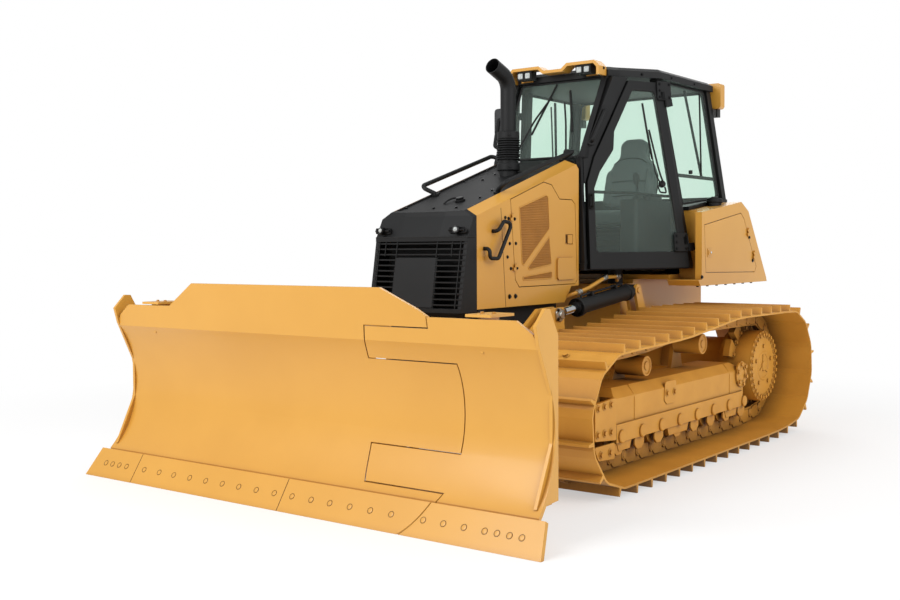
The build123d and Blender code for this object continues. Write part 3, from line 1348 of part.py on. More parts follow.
# outline from the front: y, z, from the lower right end round to the lower left end
blade_outline = ((-blade_half, 20), (-blade_half, 160), (35 - blade_half, 950), (62 - blade_half, 1000),
                 (152 - blade_half, 1064), (-1050, 1066), (-830, 1205), (615, 1205), (850, 1101), (918, 1062),
                 (blade_half - 152, 1062), (blade_half - 62, 1000), (blade_half - 35, 950), (blade_half, 160),
                 (blade_half, 20))
edge_outline = ((-edge_half + edge_flare, 160.0), (edge_half - edge_flare, 160.0), (edge_half, 0.0),
                (edge_half, -10.0), (-edge_half, -10.0), (-edge_half, 0.0))
blade_span = 2 * edge_half
zone_front, zone_back = tip + 64, tip - 486


def knuckle_zone(for_wing, wings_own, radius):
    """Sketch, on a level plane, of the space that one band of the hinge denies to a piece."""
    if for_wing:
        with Locations((zone_back, 0)):
            Rectangle(zone_front - zone_back, hinge_y, align=(Align.MIN, Align.MIN))
        with Locations((hinge_x, hinge_y)):
            if wings_own:
                Circle(radius, mode=Mode.SUBTRACT)
            else:
                Circle(radius + wing_gap)
    else:
        with Locations((zone_back, hinge_y)):
            Rectangle(zone_front - zone_back, blade_span, align=(Align.MIN, Align.MIN))
        with Locations((hinge_x, hinge_y)):
            if wings_own:
                Circle(radius + wing_gap)
            else:
                Circle(radius, mode=Mode.SUBTRACT)


def cut_knuckles(for_wing):
    """Cut the fold hinge's bands out of the piece in hand."""
    for low, high, wings_own, radius in knuckles:
        clear = wing_gap / 2 if wings_own != for_wing else -wing_gap / 2
        bottom = low - clear if low > 0 else low
        with BuildSketch(Plane.XY.offset(bottom)) as zone:
            knuckle_zone(for_wing, wings_own, radius)
        extrude(zone.sketch, amount=high + clear - bottom, mode=Mode.SUBTRACT)


lower_beam = ((tip - 292, 190), (tip - 292, 330), (tip - 255, 330), (tip - 166, 190))
upper_beam = ((tip - 324, 790), (tip - 324, 900), (tip - 210, 900), (tip - 266, 790))
beam_wing_end = 445.0
rib_places = (-1180.0, -760.0, -380.0, 120.0, 410.0)
rib_thickness = 20.0
rib = ((tip - 334, 325), (tip - 342, 795), (tip - 264, 795), (tip - 308, 640), (tip - 308, 500), (tip - 256, 325))
end_plate, end_plate_y = 18.0, blade_half - 35
end_outline = ((tip - 340, 200), (tip - 340, 990), (tip - 266, 1118), (tip - 226, 1120), (tip - 146, 1040),
               (tip - 171, 950), (tip - 286, 700), (tip - 286, 480), (tip - 146, 190))
shelf_z, shelf_thickness = 1085.0, 14.0
shelf_from, shelf_to = blade_half - 442, blade_half - 292
shelf_back, shelf_front = tip - 366, tip - 164
bracket = ((tip - 324, 895), (shelf_back + 30, shelf_z - 4), (tip - 181, shelf_z - 4), (tip - 198, 895))
tilt_boss_radius, tilt_boss_back, tilt_boss_front = 112.0, blade_pivot_x + 290, tip - 276
lug_thickness = 24.0
hinge_boss, hinge_pin = 24.0, 11.0

with BuildPart() as blade:
    with BuildSketch(Plane.XZ):
        with BuildLine():
            moldboard_section(plate_thickness)
        make_face()
    extrude(amount=edge_half, both=True)
    with BuildSketch(Plane.YZ.offset(zone_back)):
        with BuildLine():
            Polyline(*blade_outline, close=True)
        make_face()
    extrude(amount=zone_front - zone_back, mode=Mode.INTERSECT)
    for beam in (lower_beam, upper_beam):
        with BuildSketch(Plane.XZ.offset(-beam_wing_end)):
            with BuildLine():
                Polyline(*beam, close=True)
            make_face()
        extrude(amount=beam_wing_end + end_plate_y - 20)
    for y in rib_places:
        with BuildSketch(side_plane(y)):
            with BuildLine():
                Polyline(*rib, close=True)
            make_face()
        extrude(amount=rib_thickness / 2, both=True)
    cut_knuckles(for_wing=False)
    with BuildSketch(side_plane(-end_plate_y)):
        with BuildLine():
            Polyline(*end_outline, close=True)
        make_face()
    extrude(amount=end_plate / 2, both=True)
    with BuildSketch(Plane.YZ.offset(tilt_boss_back)):
        with Locations((0, tilt_z)):
            Circle(tilt_boss_radius)
    extrude(amount=tilt_boss_front - tilt_boss_back)
    with BuildSketch(Plane.XZ):
        with BuildLine():
            ThreePointArc(face_foot, face_deep, face_shoulder)
            Polyline(face_shoulder, (tip, face_shoulder[1]), (tip, face_foot[1]), face_foot)
        make_face()
    extrude(amount=tilt_boss_radius + 1, both=True, mode=Mode.SUBTRACT)
    with BuildSketch(Plane.YZ.offset(tilt_boss_back)):
        with Locations((0, tilt_z)):
            Circle(tilt_pin_radius + running_gap)
    extrude(amount=tilt_pin_end + 5 - tilt_boss_back, mode=Mode.SUBTRACT)
    for ear in (-1, 1):
        ear_x = tilt_cylinder_x + ear * (eye_gap + lug_thickness) / 2
        with BuildSketch(Plane.YZ.offset(ear_x)):
            with Locations((tilt_rod_y, tilt_cylinder_z)):
                Circle(44)
            with Locations((tilt_rod_y + 40, tilt_cylinder_z)):
                Rectangle(80, 88)
        extrude(amount=lug_thickness / 2, both=True)
    with BuildSketch(Plane.XY.offset(tilt_cylinder_z)):
        with Locations((tilt_cylinder_x - eye_gap / 2 - lug_thickness, tilt_rod_y + 60)):
            Rectangle(140 + eye_gap, 22, align=(Align.MIN, Align.MIN))
    extrude(amount=44, both=True)
    with BuildSketch(Plane.XY.offset(shelf_z)):
        with Locations((shelf_back, -shelf_from)):
            Rectangle(shelf_front - shelf_back, shelf_to - shelf_from, align=(Align.MIN, Align.MAX))
    extrude(amount=-shelf_thickness)
    with BuildSketch(side_plane(-(shelf_from + shelf_to) / 2)):
        with BuildLine():
            Polyline(*bracket, close=True)
        make_face()
    extrude(amount=8, both=True)
    with BuildSketch(Plane.XY.offset(392)):
        with Locations((hinge_x, hinge_y)):
            Circle(hinge_boss)
    extrude(amount=60)
    with BuildSketch(Plane.XY.offset(340)):
        with Locations((hinge_x, hinge_y)):
            Circle(hinge_pin)
    extrude(amount=60)
save(blade, "blade")

with BuildPart() as blade_wing:
    with BuildSketch(Plane.XZ):
        with BuildLine():
            moldboard_section(plate_thickness)
        make_face()
    extrude(amount=-edge_half)
    with BuildSketch(Plane.YZ.offset(zone_back)):
        with BuildLine():
            Polyline(*blade_outline, close=True)
        make_face()
    extrude(amount=zone_front - zone_back, mode=Mode.INTERSECT)
    for beam in (lower_beam, upper_beam):
        with BuildSketch(Plane.XZ.offset(-end_plate_y - 3)):
            with BuildLine():
                Polyline(*beam, close=True)
            make_face()
        extrude(amount=end_plate_y + 3 - hinge_y)
    with BuildSketch(side_plane((shelf_from + shelf_to) / 2)):
        with BuildLine():
            Polyline(*rib, close=True)
        make_face()
    extrude(amount=rib_thickness / 2, both=True)
    cut_knuckles(for_wing=True)
    with BuildSketch(side_plane(end_plate_y)):
        with BuildLine():
            Polyline(*end_outline, close=True)
        make_face()
    extrude(amount=end_plate / 2, both=True)
    with BuildSketch(Plane.XY.offset(shelf_z)):
        with Locations((shelf_back, shelf_from)):
            Rectangle(shelf_front - shelf_back, shelf_to - shelf_from, align=(Align.MIN, Align.MIN))
    extrude(amount=-shelf_thickness)
    with BuildSketch(side_plane((shelf_from + shelf_to) / 2)):
        with BuildLine():
            Polyline(*bracket, close=True)
        make_face()
    extrude(amount=8, both=True)
    with BuildSketch(Plane.XY.offset(300)):
        with Locations((hinge_x, hinge_y)):
            Circle(hinge_boss)
            Circle(hinge_pin + running_gap, mode=Mode.SUBTRACT)
    extrude(amount=76)
save(blade_wing, "blade_wing")

for name, for_wing in (("cutting_edge", False), ("wing_cutting_edge", True)):
    with BuildPart() as edge:
        with BuildSketch(Plane.XZ):
            with BuildLine():
                Polyline(edge_top, (tip, 0), (edge_back_tip_x, 0), edge_back, close=True)
            make_face()
        extrude(amount=edge_half, both=True)
        with BuildSketch(Plane.YZ.offset(zone_back)):
            with BuildLine():
                Polyline(*edge_outline, close=True)
            make_face()
        extrude(amount=zone_front - zone_back, mode=Mode.INTERSECT)
        if for_wing:
            split(bisect_by=side_plane(0), keep=Keep.BOTTOM)
        cut_knuckles(for_wing)
    save(edge, name)

# ---------------------------------------------------------------- cylinders
eye_radius = 42.0


def cylinder_plane(barrel_pin, rod_pin, across):
    """Plane at the barrel's pin whose normal runs to the rod's pin."""
    start, end = Vector(*barrel_pin), Vector(*rod_pin)
    return Plane(origin=start, x_dir=across, z_dir=end - start)


# name, barrel pin, rod pin, the pins' direction, outer radius, rod radius, barrel end along it, rod's tail
cylinders = []
for side, sign in SIDES:
    cylinders.append((f"lift_{side}", (lift_barrel_pin[0], sign * arm_middle, lift_barrel_pin[1]),
                      (lift_rod_pin[0], sign * arm_middle, lift_rod_pin[1]), (0, 1, 0), 54.0, 28.0, 815.0, 345.0))
    cylinders.append((f"angle_{side}", (*angle_barrel_pin[:1], sign * angle_barrel_pin[1], angle_z),
                      (angle_rod_pin[0], sign * angle_rod_pin[1], angle_z), (0, 0, 1), 42.0, 24.0, 486.0, 254.0))
cylinders.append(("tilt", (tilt_cylinder_x, tilt_barrel_y, tilt_cylinder_z),
                  (tilt_cylinder_x, tilt_rod_y, tilt_cylinder_z), (1, 0, 0), 48.0, 26.0, 500.0, 230.0))
bore_play = 8.0
gland_lengths = {"lift": 34.0, "angle": 22.0, "tilt": 34.0}
piston_length = 22.0
barrel_necks = {"lift": 40.0, "angle": 24.0, "tilt": 40.0}     # narrow part inside the ears
rod_flats = {"lift": 125.0, "angle": 62.0, "tilt": 62.0}
gland_extra = 7.0
for name, barrel_pin, rod_pin, across, radius, rod_radius, barrel_end, rod_tail in cylinders:
    plane = cylinder_plane(barrel_pin, rod_pin, Vector(*across))
    reach = (Vector(*rod_pin) - Vector(*barrel_pin)).length
    use = name.split("_")[0]
    rod_flat, barrel_neck, gland_length = rod_flats[use], barrel_necks[use], gland_lengths[use]
    with BuildPart() as barrel:
        with BuildSketch(plane.offset(eye_radius - 12)):
            Rectangle(eye_width, 1.5 * radius)
        extrude(amount=barrel_neck)
        with BuildSketch(plane.offset(eye_radius + barrel_neck - 16)):
            Circle(radius)
        extrude(amount=barrel_end - eye_radius - barrel_neck + 16)
        with BuildSketch(plane.offset(barrel_end - gland_length)):
            Circle(radius + gland_extra)
        extrude(amount=gland_length)
        with BuildSketch(plane.offset(eye_radius + barrel_neck)):
            Circle(radius - bore_play)
        extrude(amount=barrel_end - gland_length - eye_radius - barrel_neck, mode=Mode.SUBTRACT)
        with BuildSketch(plane.offset(barrel_end - gland_length - 1)):
            Circle(rod_radius + running_gap)
        extrude(amount=gland_length + 2, mode=Mode.SUBTRACT)
        with BuildSketch(Plane(origin=barrel_pin, z_dir=across)):
            Circle(eye_radius)
        extrude(amount=eye_width / 2, both=True)
        with BuildSketch(Plane(origin=barrel_pin, z_dir=across)):
            Circle(barrel_pins[use] + running_gap)
        extrude(amount=eye_width / 2, both=True, mode=Mode.SUBTRACT)
    save(barrel, f"{name}_barrel")
    with BuildPart() as rod:
        with BuildSketch(plane.offset(rod_tail)):
            Circle(rod_radius)
        extrude(amount=reach - rod_flat - rod_tail)
        with BuildSketch(plane.offset(reach - rod_flat)):
            Circle(rod_radius)
            Rectangle(eye_width, 2 * rod_radius, mode=Mode.INTERSECT)
        extrude(amount=rod_flat - eye_radius + 8)
        with BuildSketch(plane.offset(rod_tail)):
            Circle(radius - bore_play - 1)
        extrude(amount=piston_length)
        with BuildSketch(Plane(origin=rod_pin, z_dir=across)):
            Circle(eye_radius)
        extrude(amount=eye_width / 2, both=True)
    save(rod, f"{name}_rod")
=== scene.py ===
import math

import bpy
from mathutils import Matrix, Vector


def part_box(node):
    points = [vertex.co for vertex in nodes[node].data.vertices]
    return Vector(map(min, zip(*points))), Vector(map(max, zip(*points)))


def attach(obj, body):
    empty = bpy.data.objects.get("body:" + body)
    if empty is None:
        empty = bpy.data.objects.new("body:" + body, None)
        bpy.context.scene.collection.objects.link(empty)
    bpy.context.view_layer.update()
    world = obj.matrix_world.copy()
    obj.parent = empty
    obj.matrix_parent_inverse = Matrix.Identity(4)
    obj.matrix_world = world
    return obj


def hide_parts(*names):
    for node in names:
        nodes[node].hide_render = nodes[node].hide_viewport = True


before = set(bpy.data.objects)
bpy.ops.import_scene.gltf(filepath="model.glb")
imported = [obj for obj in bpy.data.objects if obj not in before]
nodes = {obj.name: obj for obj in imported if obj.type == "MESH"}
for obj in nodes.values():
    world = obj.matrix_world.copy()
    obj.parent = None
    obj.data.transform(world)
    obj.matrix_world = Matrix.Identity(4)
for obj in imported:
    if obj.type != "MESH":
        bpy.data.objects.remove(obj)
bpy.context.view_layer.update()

# Places and sizes below are in millimetres, as on the machine's drawings; meshes are made in metres.

# ---------------------------------------------------------------- hull and painted structure
# The hull, C-frame, blade and body panels are welded from plate and cast steel, shot-blasted,
# primed and sprayed with ochre two-pack enamel after welding, so the colour runs over the welds.


def linear(code):
    """An sRGB hex colour as the linear RGBA that a shader's socket takes."""
    parts = [int(code[i:i + 2], 16) / 255 for i in (1, 3, 5)]
    return (*[p / 12.92 if p <= 0.04045 else ((p + 0.055) / 1.055) ** 2.4 for p in parts], 1.0)


def add(tree, kind, links=(), **settings):
    """Adds a node; links are (input name or number, socket), settings are its attributes or inputs."""
    node = tree.nodes.new(kind)
    for name, value in settings.items():
        if hasattr(node, name):
            setattr(node, name, value)
        else:
            node.inputs[name.replace("_", " ")].default_value = value
    for place, socket in links:
        tree.links.new(socket, node.inputs[place])
    return node


def new_material(name, slot, **surface):
    """A material with one Principled shader, and the slot that it stands for."""
    material = bpy.data.materials.new(name)
    material.use_nodes = True
    tree = material.node_tree
    tree.nodes.clear()
    shader = add(tree, "ShaderNodeBsdfPrincipled")
    for socket, value in surface.items():
        shader.inputs[socket.replace("_", " ")].default_value = value
    add(tree, "ShaderNodeOutputMaterial", [("Surface", shader.outputs[0])])
    place = add(tree, "ShaderNodeTexCoord").outputs["Object"]
    material["slot"] = slot
    return material, tree, shader, place


def noise(tree, place, size_mm, low, high, detail=3.0):
    """Noise of a given size, stretched so that it runs from 0 to 1 between two of its levels."""
    field = add(tree, "ShaderNodeTexNoise", [("Vector", place)], Scale=1000 / size_mm, Detail=detail)
    return add(tree, "ShaderNodeMapRange", [("Value", field.outputs["Fac"])], From_Min=low, From_Max=high).outputs[0]


def blend(tree, share, first, second):
    """Colour between two, each a hex code or a socket, by a share."""
    node = add(tree, "ShaderNodeMix", [("Factor", share)], data_type="RGBA")
    for slot, colour in ((6, first), (7, second)):
        if isinstance(colour, str):
            node.inputs[slot].default_value = linear(colour)
        else:
            tree.links.new(colour, node.inputs[slot])
    return node.outputs[2]


def relief(tree, shader, height, depth_mm, edge_mm=0.0):
    """Bump of the given depth, over edges whose look is rounded by the given radius."""
    links = [("Height", height)]
    if edge_mm:
        links.append(("Normal", add(tree, "ShaderNodeBevel", samples=4, Radius=edge_mm / 1000).outputs[0]))
    bump = add(tree, "ShaderNodeBump", links, Distance=depth_mm / 1000, Strength=1.0)
    tree.links.new(bump.outputs["Normal"], shader.inputs["Normal"])


def painted_shade_share(tree, reach_mm, low, high):
    """0 on open faces and 1 in corners and crevices, as ambient light reaches them: the mask for painted shade."""
    light = add(tree, "ShaderNodeAmbientOcclusion", samples=6, Distance=reach_mm / 1000)
    return add(tree, "ShaderNodeMapRange", [("Value", light.outputs["AO"])], From_Min=high, From_Max=low).outputs[0]


def shaded(tree, shader, place, size_mm, first, second, low=0.35):
    """Base colour that drifts between two near shades in patches of a size."""
    colour = blend(tree, noise(tree, place, size_mm, low, 1 - low), first, second)
    tree.links.new(colour, shader.inputs["Base Color"])


def dress(material, *names):
    """Gives CAD nodes a finish."""
    for name in names:
        nodes[name].data.materials.clear()
        nodes[name].data.materials.append(material)


# orange peel of the sprayed coat, a slight drift of tone, and painted shade that darkens corners and crevices
enamel, tree, shader, place = new_material("sprayed_ochre_enamel", "paint", Roughness=0.38, Coat_Weight=0.2,
                                           Coat_Roughness=0.15)
shade = blend(tree, noise(tree, place, 600, 0.35, 0.65), "#D1983A", "#D69D3E")
shade = blend(tree, painted_shade_share(tree, 45, 0.35, 0.95), shade, "#A86E22")
tree.links.new(shade, shader.inputs["Base Color"])
relief(tree, shader, noise(tree, place, 5, 0.3, 0.7), 0.03, edge_mm=3.0)
dress(enamel, "main_frame", "drawbar", "hood_sides", "engine_door_left", "engine_door_right", "rear_body",
      "service_door_left", "service_door_right", "c_frame", "blade_pivot", "blade", "blade_wing",
      "cutting_edge", "wing_cutting_edge", "lamp_pods", "angle_left_barrel", "angle_right_barrel", "tilt_barrel")

# The bare engine and radiator are sprayed flat black and lie in the dark behind the panels.
engine_black, tree, shader, place = new_material("flat_black_engine_paint", "dark_paint", Roughness=0.7)
shaded(tree, shader, place, 90, "#141414", "#1D1C1B")
relief(tree, shader, noise(tree, place, 12, 0.3, 0.7), 0.3)
dress(engine_black, "engine_block", "radiator")


def shape(name, body, finish, parts, crease=32):
    """An object from parts, each (points, faces), smooth except across creases, riding on a body."""
    mesh = bpy.data.meshes.new(name)
    points, loops = [], []
    for corners, faces in parts:
        loops += [[len(points) + i for i in face] for face in faces]
        points += [(x / 1000, y / 1000, z / 1000) for x, y, z in corners]
    mesh.from_pydata(points, [], loops)
    mesh.polygons.foreach_set("use_smooth", [True] * len(mesh.polygons))
    mesh.set_sharp_from_angle(angle=math.radians(crease))
    mesh.materials.append(finish)
    made = bpy.data.objects.new(name, mesh)
    bpy.context.scene.collection.objects.link(made)
    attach(made, body)
    return made


def turned(profile, centre, axis, steps=32):
    """A lathe-turned part: (distance along the axis, radius) pairs about an axis through the centre."""
    axis = Vector(axis).normalized()
    across = axis.orthogonal().normalized()
    up = axis.cross(across)
    points, faces = [], []
    for along, radius in profile:
        for i in range(steps):
            turn = 2 * math.pi * i / steps
            points.append(Vector(centre) + along * axis + radius * (math.cos(turn) * across + math.sin(turn) * up))
    for ring in range(0, (len(profile) - 1) * steps, steps):
        for i in range(steps):
            after = (i + 1) % steps
            faces.append((ring + i, ring + after, ring + steps + after, ring + steps + i))
    faces += [tuple(reversed(range(steps))), tuple(range(len(points) - steps, len(points)))]
    return points, faces


def neighbours(loop):
    """Each corner of a closed outline with the ones before and after it."""
    return zip(loop[-1:] + loop[:-1], loop, loop[1:] + loop[:1])


def plate(corners, thickness, out, ease=1.5):
    """A plate cut to an outline and standing out from it, with its outer edges eased."""
    out = Vector(out).normalized()
    loop = [Vector(corner) for corner in corners]
    if sum((a.cross(b) for a, b in zip(loop, loop[1:] + loop[:1])), Vector()).dot(out) < 0:
        loop.reverse()
    inner = []
    for before, here, after in neighbours(loop):
        first, second = out.cross(here - before).normalized(), out.cross(after - here).normalized()
        inner.append(here + ease * (first + second) / (1 + first.dot(second)))
    count = len(loop)
    points = loop + [p + (thickness - ease) * out for p in loop] + [p + thickness * out for p in inner]
    faces = [tuple(reversed(range(count))), tuple(range(2 * count, 3 * count))]
    for ring in (0, count):
        for i in range(count):
            after = (i + 1) % count
            faces.append((ring + i, ring + after, ring + count + after, ring + count + i))
    return points, faces


def rounded(corners, radius, steps=4):
    """The outline with each corner rounded."""
    loop = [Vector(corner) for corner in corners]
    curve = []
    for before, here, after in neighbours(loop):
        back, ahead = before - here, after - here
        reach = min(radius / math.tan(back.angle(ahead) / 2), 0.48 * back.length, 0.48 * ahead.length)
        start, end = here + reach * back.normalized(), here + reach * ahead.normalized()
        for step in range(steps + 1):
            t = step / steps
            curve.append(start * (1 - t) ** 2 + here * 2 * t * (1 - t) + end * t ** 2)
    return curve


def pipe(route, radius, bend=50.0, steps=12):
    """A pipe bent round the route's corners, with closed ends."""
    route = [Vector(point) for point in route]
    line = [route[0]]
    for before, here, after in zip(route, route[1:], route[2:]):
        back, ahead = before - here, after - here
        reach = min(bend, 0.45 * back.length, 0.45 * ahead.length)
        start, end = here + reach * back.normalized(), here + reach * ahead.normalized()
        line += [start * (1 - t) ** 2 + here * 2 * t * (1 - t) + end * t ** 2 for t in (0, 0.25, 0.5, 0.75, 1)]
    line.append(route[-1])
    side = (line[1] - line[0]).orthogonal().normalized()
    points, faces = [], []
    for number, here in enumerate(line):
        ahead = (line[min(number + 1, len(line) - 1)] - line[max(number - 1, 0)]).normalized()
        side = (side - ahead * side.dot(ahead)).normalized()
        other = ahead.cross(side)
        for i in range(steps):
            turn = 2 * math.pi * i / steps
            points.append(here + radius * (math.cos(turn) * side + math.sin(turn) * other))
    for ring in range(0, (len(line) - 1) * steps, steps):
        for i in range(steps):
            after = (i + 1) % steps
            faces.append((ring + i, ring + after, ring + steps + after, ring + steps + i))
    faces += [tuple(reversed(range(steps))), tuple(range(len(points) - steps, len(points)))]
    return points, faces


def new_group(name, sizes):
    """A geometry node group with a point input, named sizes and a finish; returns it with its two ends."""
    group = bpy.data.node_groups.new(name, "GeometryNodeTree")
    group.interface.new_socket("Geometry", in_out="INPUT", socket_type="NodeSocketGeometry")
    for size in sizes:
        group.interface.new_socket(size, in_out="INPUT", socket_type="NodeSocketFloat")
    group.interface.new_socket("Finish", in_out="INPUT", socket_type="NodeSocketMaterial")
    group.interface.new_socket("Geometry", in_out="OUTPUT", socket_type="NodeSocketGeometry")
    return group, group.nodes.new("NodeGroupInput"), group.nodes.new("NodeGroupOutput")


def close_group(group, source, result, shown):
    """Ends a group: what it shows is made real and takes the finish."""
    real = add(group, "GeometryNodeRealizeInstances", [(0, shown)])
    finished = add(group, "GeometryNodeSetMaterial", [("Geometry", real.outputs[0]),
                                                      ("Material", source.outputs["Finish"])])
    group.links.new(finished.outputs[0], result.inputs[0])


def evaluated(name, body, finish, group, sizes, points, edges=(), facings=()):
    """Runs a group on points or edges and keeps its result as one mesh, riding on a body."""
    seed = bpy.data.meshes.new(name + "_places")
    seed.from_pydata([(x / 1000, y / 1000, z / 1000) for x, y, z in points], list(edges), [])
    if facings:
        field = seed.attributes.new("facing", "FLOAT_VECTOR", "POINT")
        field.data.foreach_set("vector", [value for facing in facings for value in facing])
    made = bpy.data.objects.new(name, seed)
    bpy.context.scene.collection.objects.link(made)
    modifier = made.modifiers.new("repeat", "NODES")
    modifier.node_group = group
    sockets = {item.name: item.identifier for item in group.interface.items_tree if item.in_out == "INPUT"}
    for size, value in sizes.items():
        modifier[sockets[size]] = value / 1000
    modifier[sockets["Finish"]] = finish
    bpy.context.view_layer.update()
    mesh = bpy.data.meshes.new_from_object(made.evaluated_get(bpy.context.evaluated_depsgraph_get()))
    made.modifiers.clear()
    made.data = mesh
    mesh.name = name
    bpy.data.meshes.remove(seed)
    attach(made, body)
    return made


# Bolts: a hexagon head on a washer, set on each point and facing the way the point says.
bolt_group, source, result = new_group("hexagon_bolts", ("Head Width", "Head Height", "Washer Width"))
corner = add(bolt_group, "ShaderNodeMath", [(0, source.outputs["Head Width"])], operation="DIVIDE")
corner.inputs[1].default_value = math.sqrt(3)
head = add(bolt_group, "GeometryNodeMeshCylinder", [("Radius", corner.outputs[0]),
                                                    ("Depth", source.outputs["Head Height"])], Vertices=6)
half = add(bolt_group, "ShaderNodeMath", [(0, source.outputs["Head Height"])], operation="MULTIPLY")
half.inputs[1].default_value = 0.5
lift = add(bolt_group, "ShaderNodeCombineXYZ", [("Z", half.outputs[0])])
head = add(bolt_group, "GeometryNodeTransform", [("Geometry", head.outputs[0]), ("Translation", lift.outputs[0])])
rim = add(bolt_group, "ShaderNodeMath", [(0, source.outputs["Washer Width"])], operation="MULTIPLY")
rim.inputs[1].default_value = 0.5
thin = add(bolt_group, "ShaderNodeMath", [(0, source.outputs["Head Height"])], operation="MULTIPLY")
thin.inputs[1].default_value = 0.4
washer = add(bolt_group, "GeometryNodeMeshCylinder", [("Radius", rim.outputs[0]), ("Depth", thin.outputs[0])],
             Vertices=18)
both = add(bolt_group, "GeometryNodeJoinGeometry", [(0, washer.outputs[0]), (0, head.outputs[0])])
facing = add(bolt_group, "GeometryNodeInputNamedAttribute", data_type="FLOAT_VECTOR", Name="facing")
turn = add(bolt_group, "FunctionNodeAlignRotationToVector", [("Vector", facing.outputs[0])], axis="Z")
placed = add(bolt_group, "GeometryNodeInstanceOnPoints", [
    ("Points", source.outputs[0]), ("Instance", both.outputs[0]), ("Rotation", turn.outputs[0])])
close_group(bolt_group, source, result, placed.outputs[0])


def bolts(name, body, finish, places, width=24.0):
    """Hexagon bolts of one size at (point, facing) places, kept as one mesh."""
    return evaluated(name, body, finish, bolt_group,
                     {"Head Width": width, "Head Height": 0.55 * width, "Washer Width": 1.75 * width},
                     [point for point, _ in places], facings=[facing for _, facing in places])


def bolt_circle(centre, radius, facing, count, first=0.0):
    """(Point, facing) places evenly round a centre, facing along Y or Z."""
    up = Vector((0, 0, 1)) if facing[1] else Vector((0, 1, 0))
    turns = [first + i * 2 * math.pi / count for i in range(count)]
    return [(Vector(centre) + radius * (math.cos(a) * Vector((1, 0, 0)) + math.sin(a) * up), facing) for a in turns]


# belly guard bolts, hull cover bolts and the drawbar's mounting bolts
bolts("hull_bolts", "machine", enamel,
      [((x, side * 290, 379), (0, 0, -1)) for x in (700, 300, -100, -500, -900, -1300, -1700, -2000)
       for side in (-1, 1)]
      + [((-2186, y, z), (-1, 0, 0)) for y in (-112, 112) for z in (400, 494)]
      + [((x, side * 331, 600), (0, side, 0)) for x in (880, 700, 520, 60, -120) for side in (-1, 1)], 26)

# ---------------------------------------------------------------- undercarriage
# Tracks, rollers, sprockets and roller frames: heat-treated forgings and welded box frames under the
# same enamel, but a coat thinner, dulled and dusty; painted shade darkens it to brown between links and rollers.
worn_and_shaded, tree, shader, place = new_material("dusty_undercarriage_enamel_with_painted_shade", "paint", Roughness=0.55)
shade = blend(tree, noise(tree, place, 220, 0.35, 0.65), "#CB8F30", "#D49837")
shade = blend(tree, painted_shade_share(tree, 170, 0.15, 0.9), shade, "#5E3A12")
tree.links.new(shade, shader.inputs["Base Color"])
relief(tree, shader, noise(tree, place, 14, 0.3, 0.7), 0.25, edge_mm=3.0)
dress(worn_and_shaded, "track_left", "track_right", "sprockets", "idlers", "track_rollers", "carrier_rollers", "final_drives",
      "track_frame_left", "track_frame_right")

sides = (("left", 1), ("right", -1))

# The chain's path, as its links lie: along the ground, up round the sprocket, over the carrier
# rollers and round the idler.
pitch, link_count = 184.6, 40
ground_pin_z = 123.0
low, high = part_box("idlers")
idler, idler_reach = Vector(((low[0] + high[0]) * 500, 434.0)), 311.0
sprocket, sprocket_reach = Vector((-1631.0, 494.0)), pitch * 12 / (2 * math.pi)
carriers = (Vector((-637.0, 730.0)), Vector((211.0, 653.0)))
tops = [carriers[0] + Vector((0, 122)), carriers[1] + Vector((0, 117))]


def touching(centre, radius, point, turn):
    """Where a line from a point touches a circle, on the side that the turn gives."""
    away = Vector(point) - centre
    angle = math.atan2(away.y, away.x) + turn * math.acos(radius / away.length)
    return centre + radius * Vector((math.cos(angle), math.sin(angle)))


def round_circle(centre, start, end):
    """Points clockwise round a circle, 2 mm apart at most."""
    first, last = (math.atan2(*reversed(point - centre)) for point in (start, end))
    sweep, radius = (first - last) % (2 * math.pi), (start - centre).length
    steps = int(sweep * radius / 2)
    return [centre + radius * Vector((math.cos(first - sweep * i / steps), math.sin(first - sweep * i / steps)))
            for i in range(steps + 1)]


lift_off, under_idler = Vector((-1330.0, ground_pin_z)), Vector((idler.x, ground_pin_z))
chain = [under_idler, lift_off,
         *round_circle(sprocket, touching(sprocket, sprocket_reach, lift_off, -1),
                       touching(sprocket, sprocket_reach, tops[0], 1)),
         *tops,
         *round_circle(idler, touching(idler, idler_reach, tops[1], -1), under_idler)]
pins, gone = [], 0.0
for start, end in zip(chain, chain[1:]):
    run = (end - start).length
    while len(pins) * pitch <= gone + run and len(pins) < link_count:
        pins.append(start.lerp(end, (len(pins) * pitch - gone) / run))
    gone += run
links = [(a, (b - a).normalized()) for a, b in zip(pins, pins[1:] + pins[:1])]


def on_link(link, along, out, y):
    """A point on a link: along it, outward from its pins, and across the machine."""
    here = link[0] + along * link[1] + out * Vector((-link[1].y, link[1].x))
    return (here.x, y, here.y)


def link_out(link):
    """A link's outward direction."""
    return (-link[1].y, 0, link[1].x)


# Track hardware: every shoe is held on its two links by four bolts, and the links' forged side
# plates have a boss round each pin.
for side, sign in sides:
    bolts(f"shoe_bolts_{side}", "machine", worn_and_shaded,
          [(on_link(link, along, 76, sign * 1000 + y), link_out(link))
           for link in links for along in (42, 92) for y in (-64, 64)], 27)
    forged = []
    for link in links:
        for y in (-67, 67):
            out = (0, math.copysign(1, y), 0)
            forged.append(turned(((-4, 33), (9, 33), (12, 30), (12, 22), (15, 20), (15, 14)),
                                 on_link(link, 0, 0, sign * 1000 + y), out, 14))
            forged.append(plate(rounded([on_link(link, a, o, sign * 1000 + y) for a, o in
                                         ((26, 34), (52, 58), (132, 58), (158, 34), (150, -30), (92, -38), (34, -30))],
                                        18, 2), 7, out, 2))
    shape(f"chain_links_{side}", "machine", worn_and_shaded, forged)

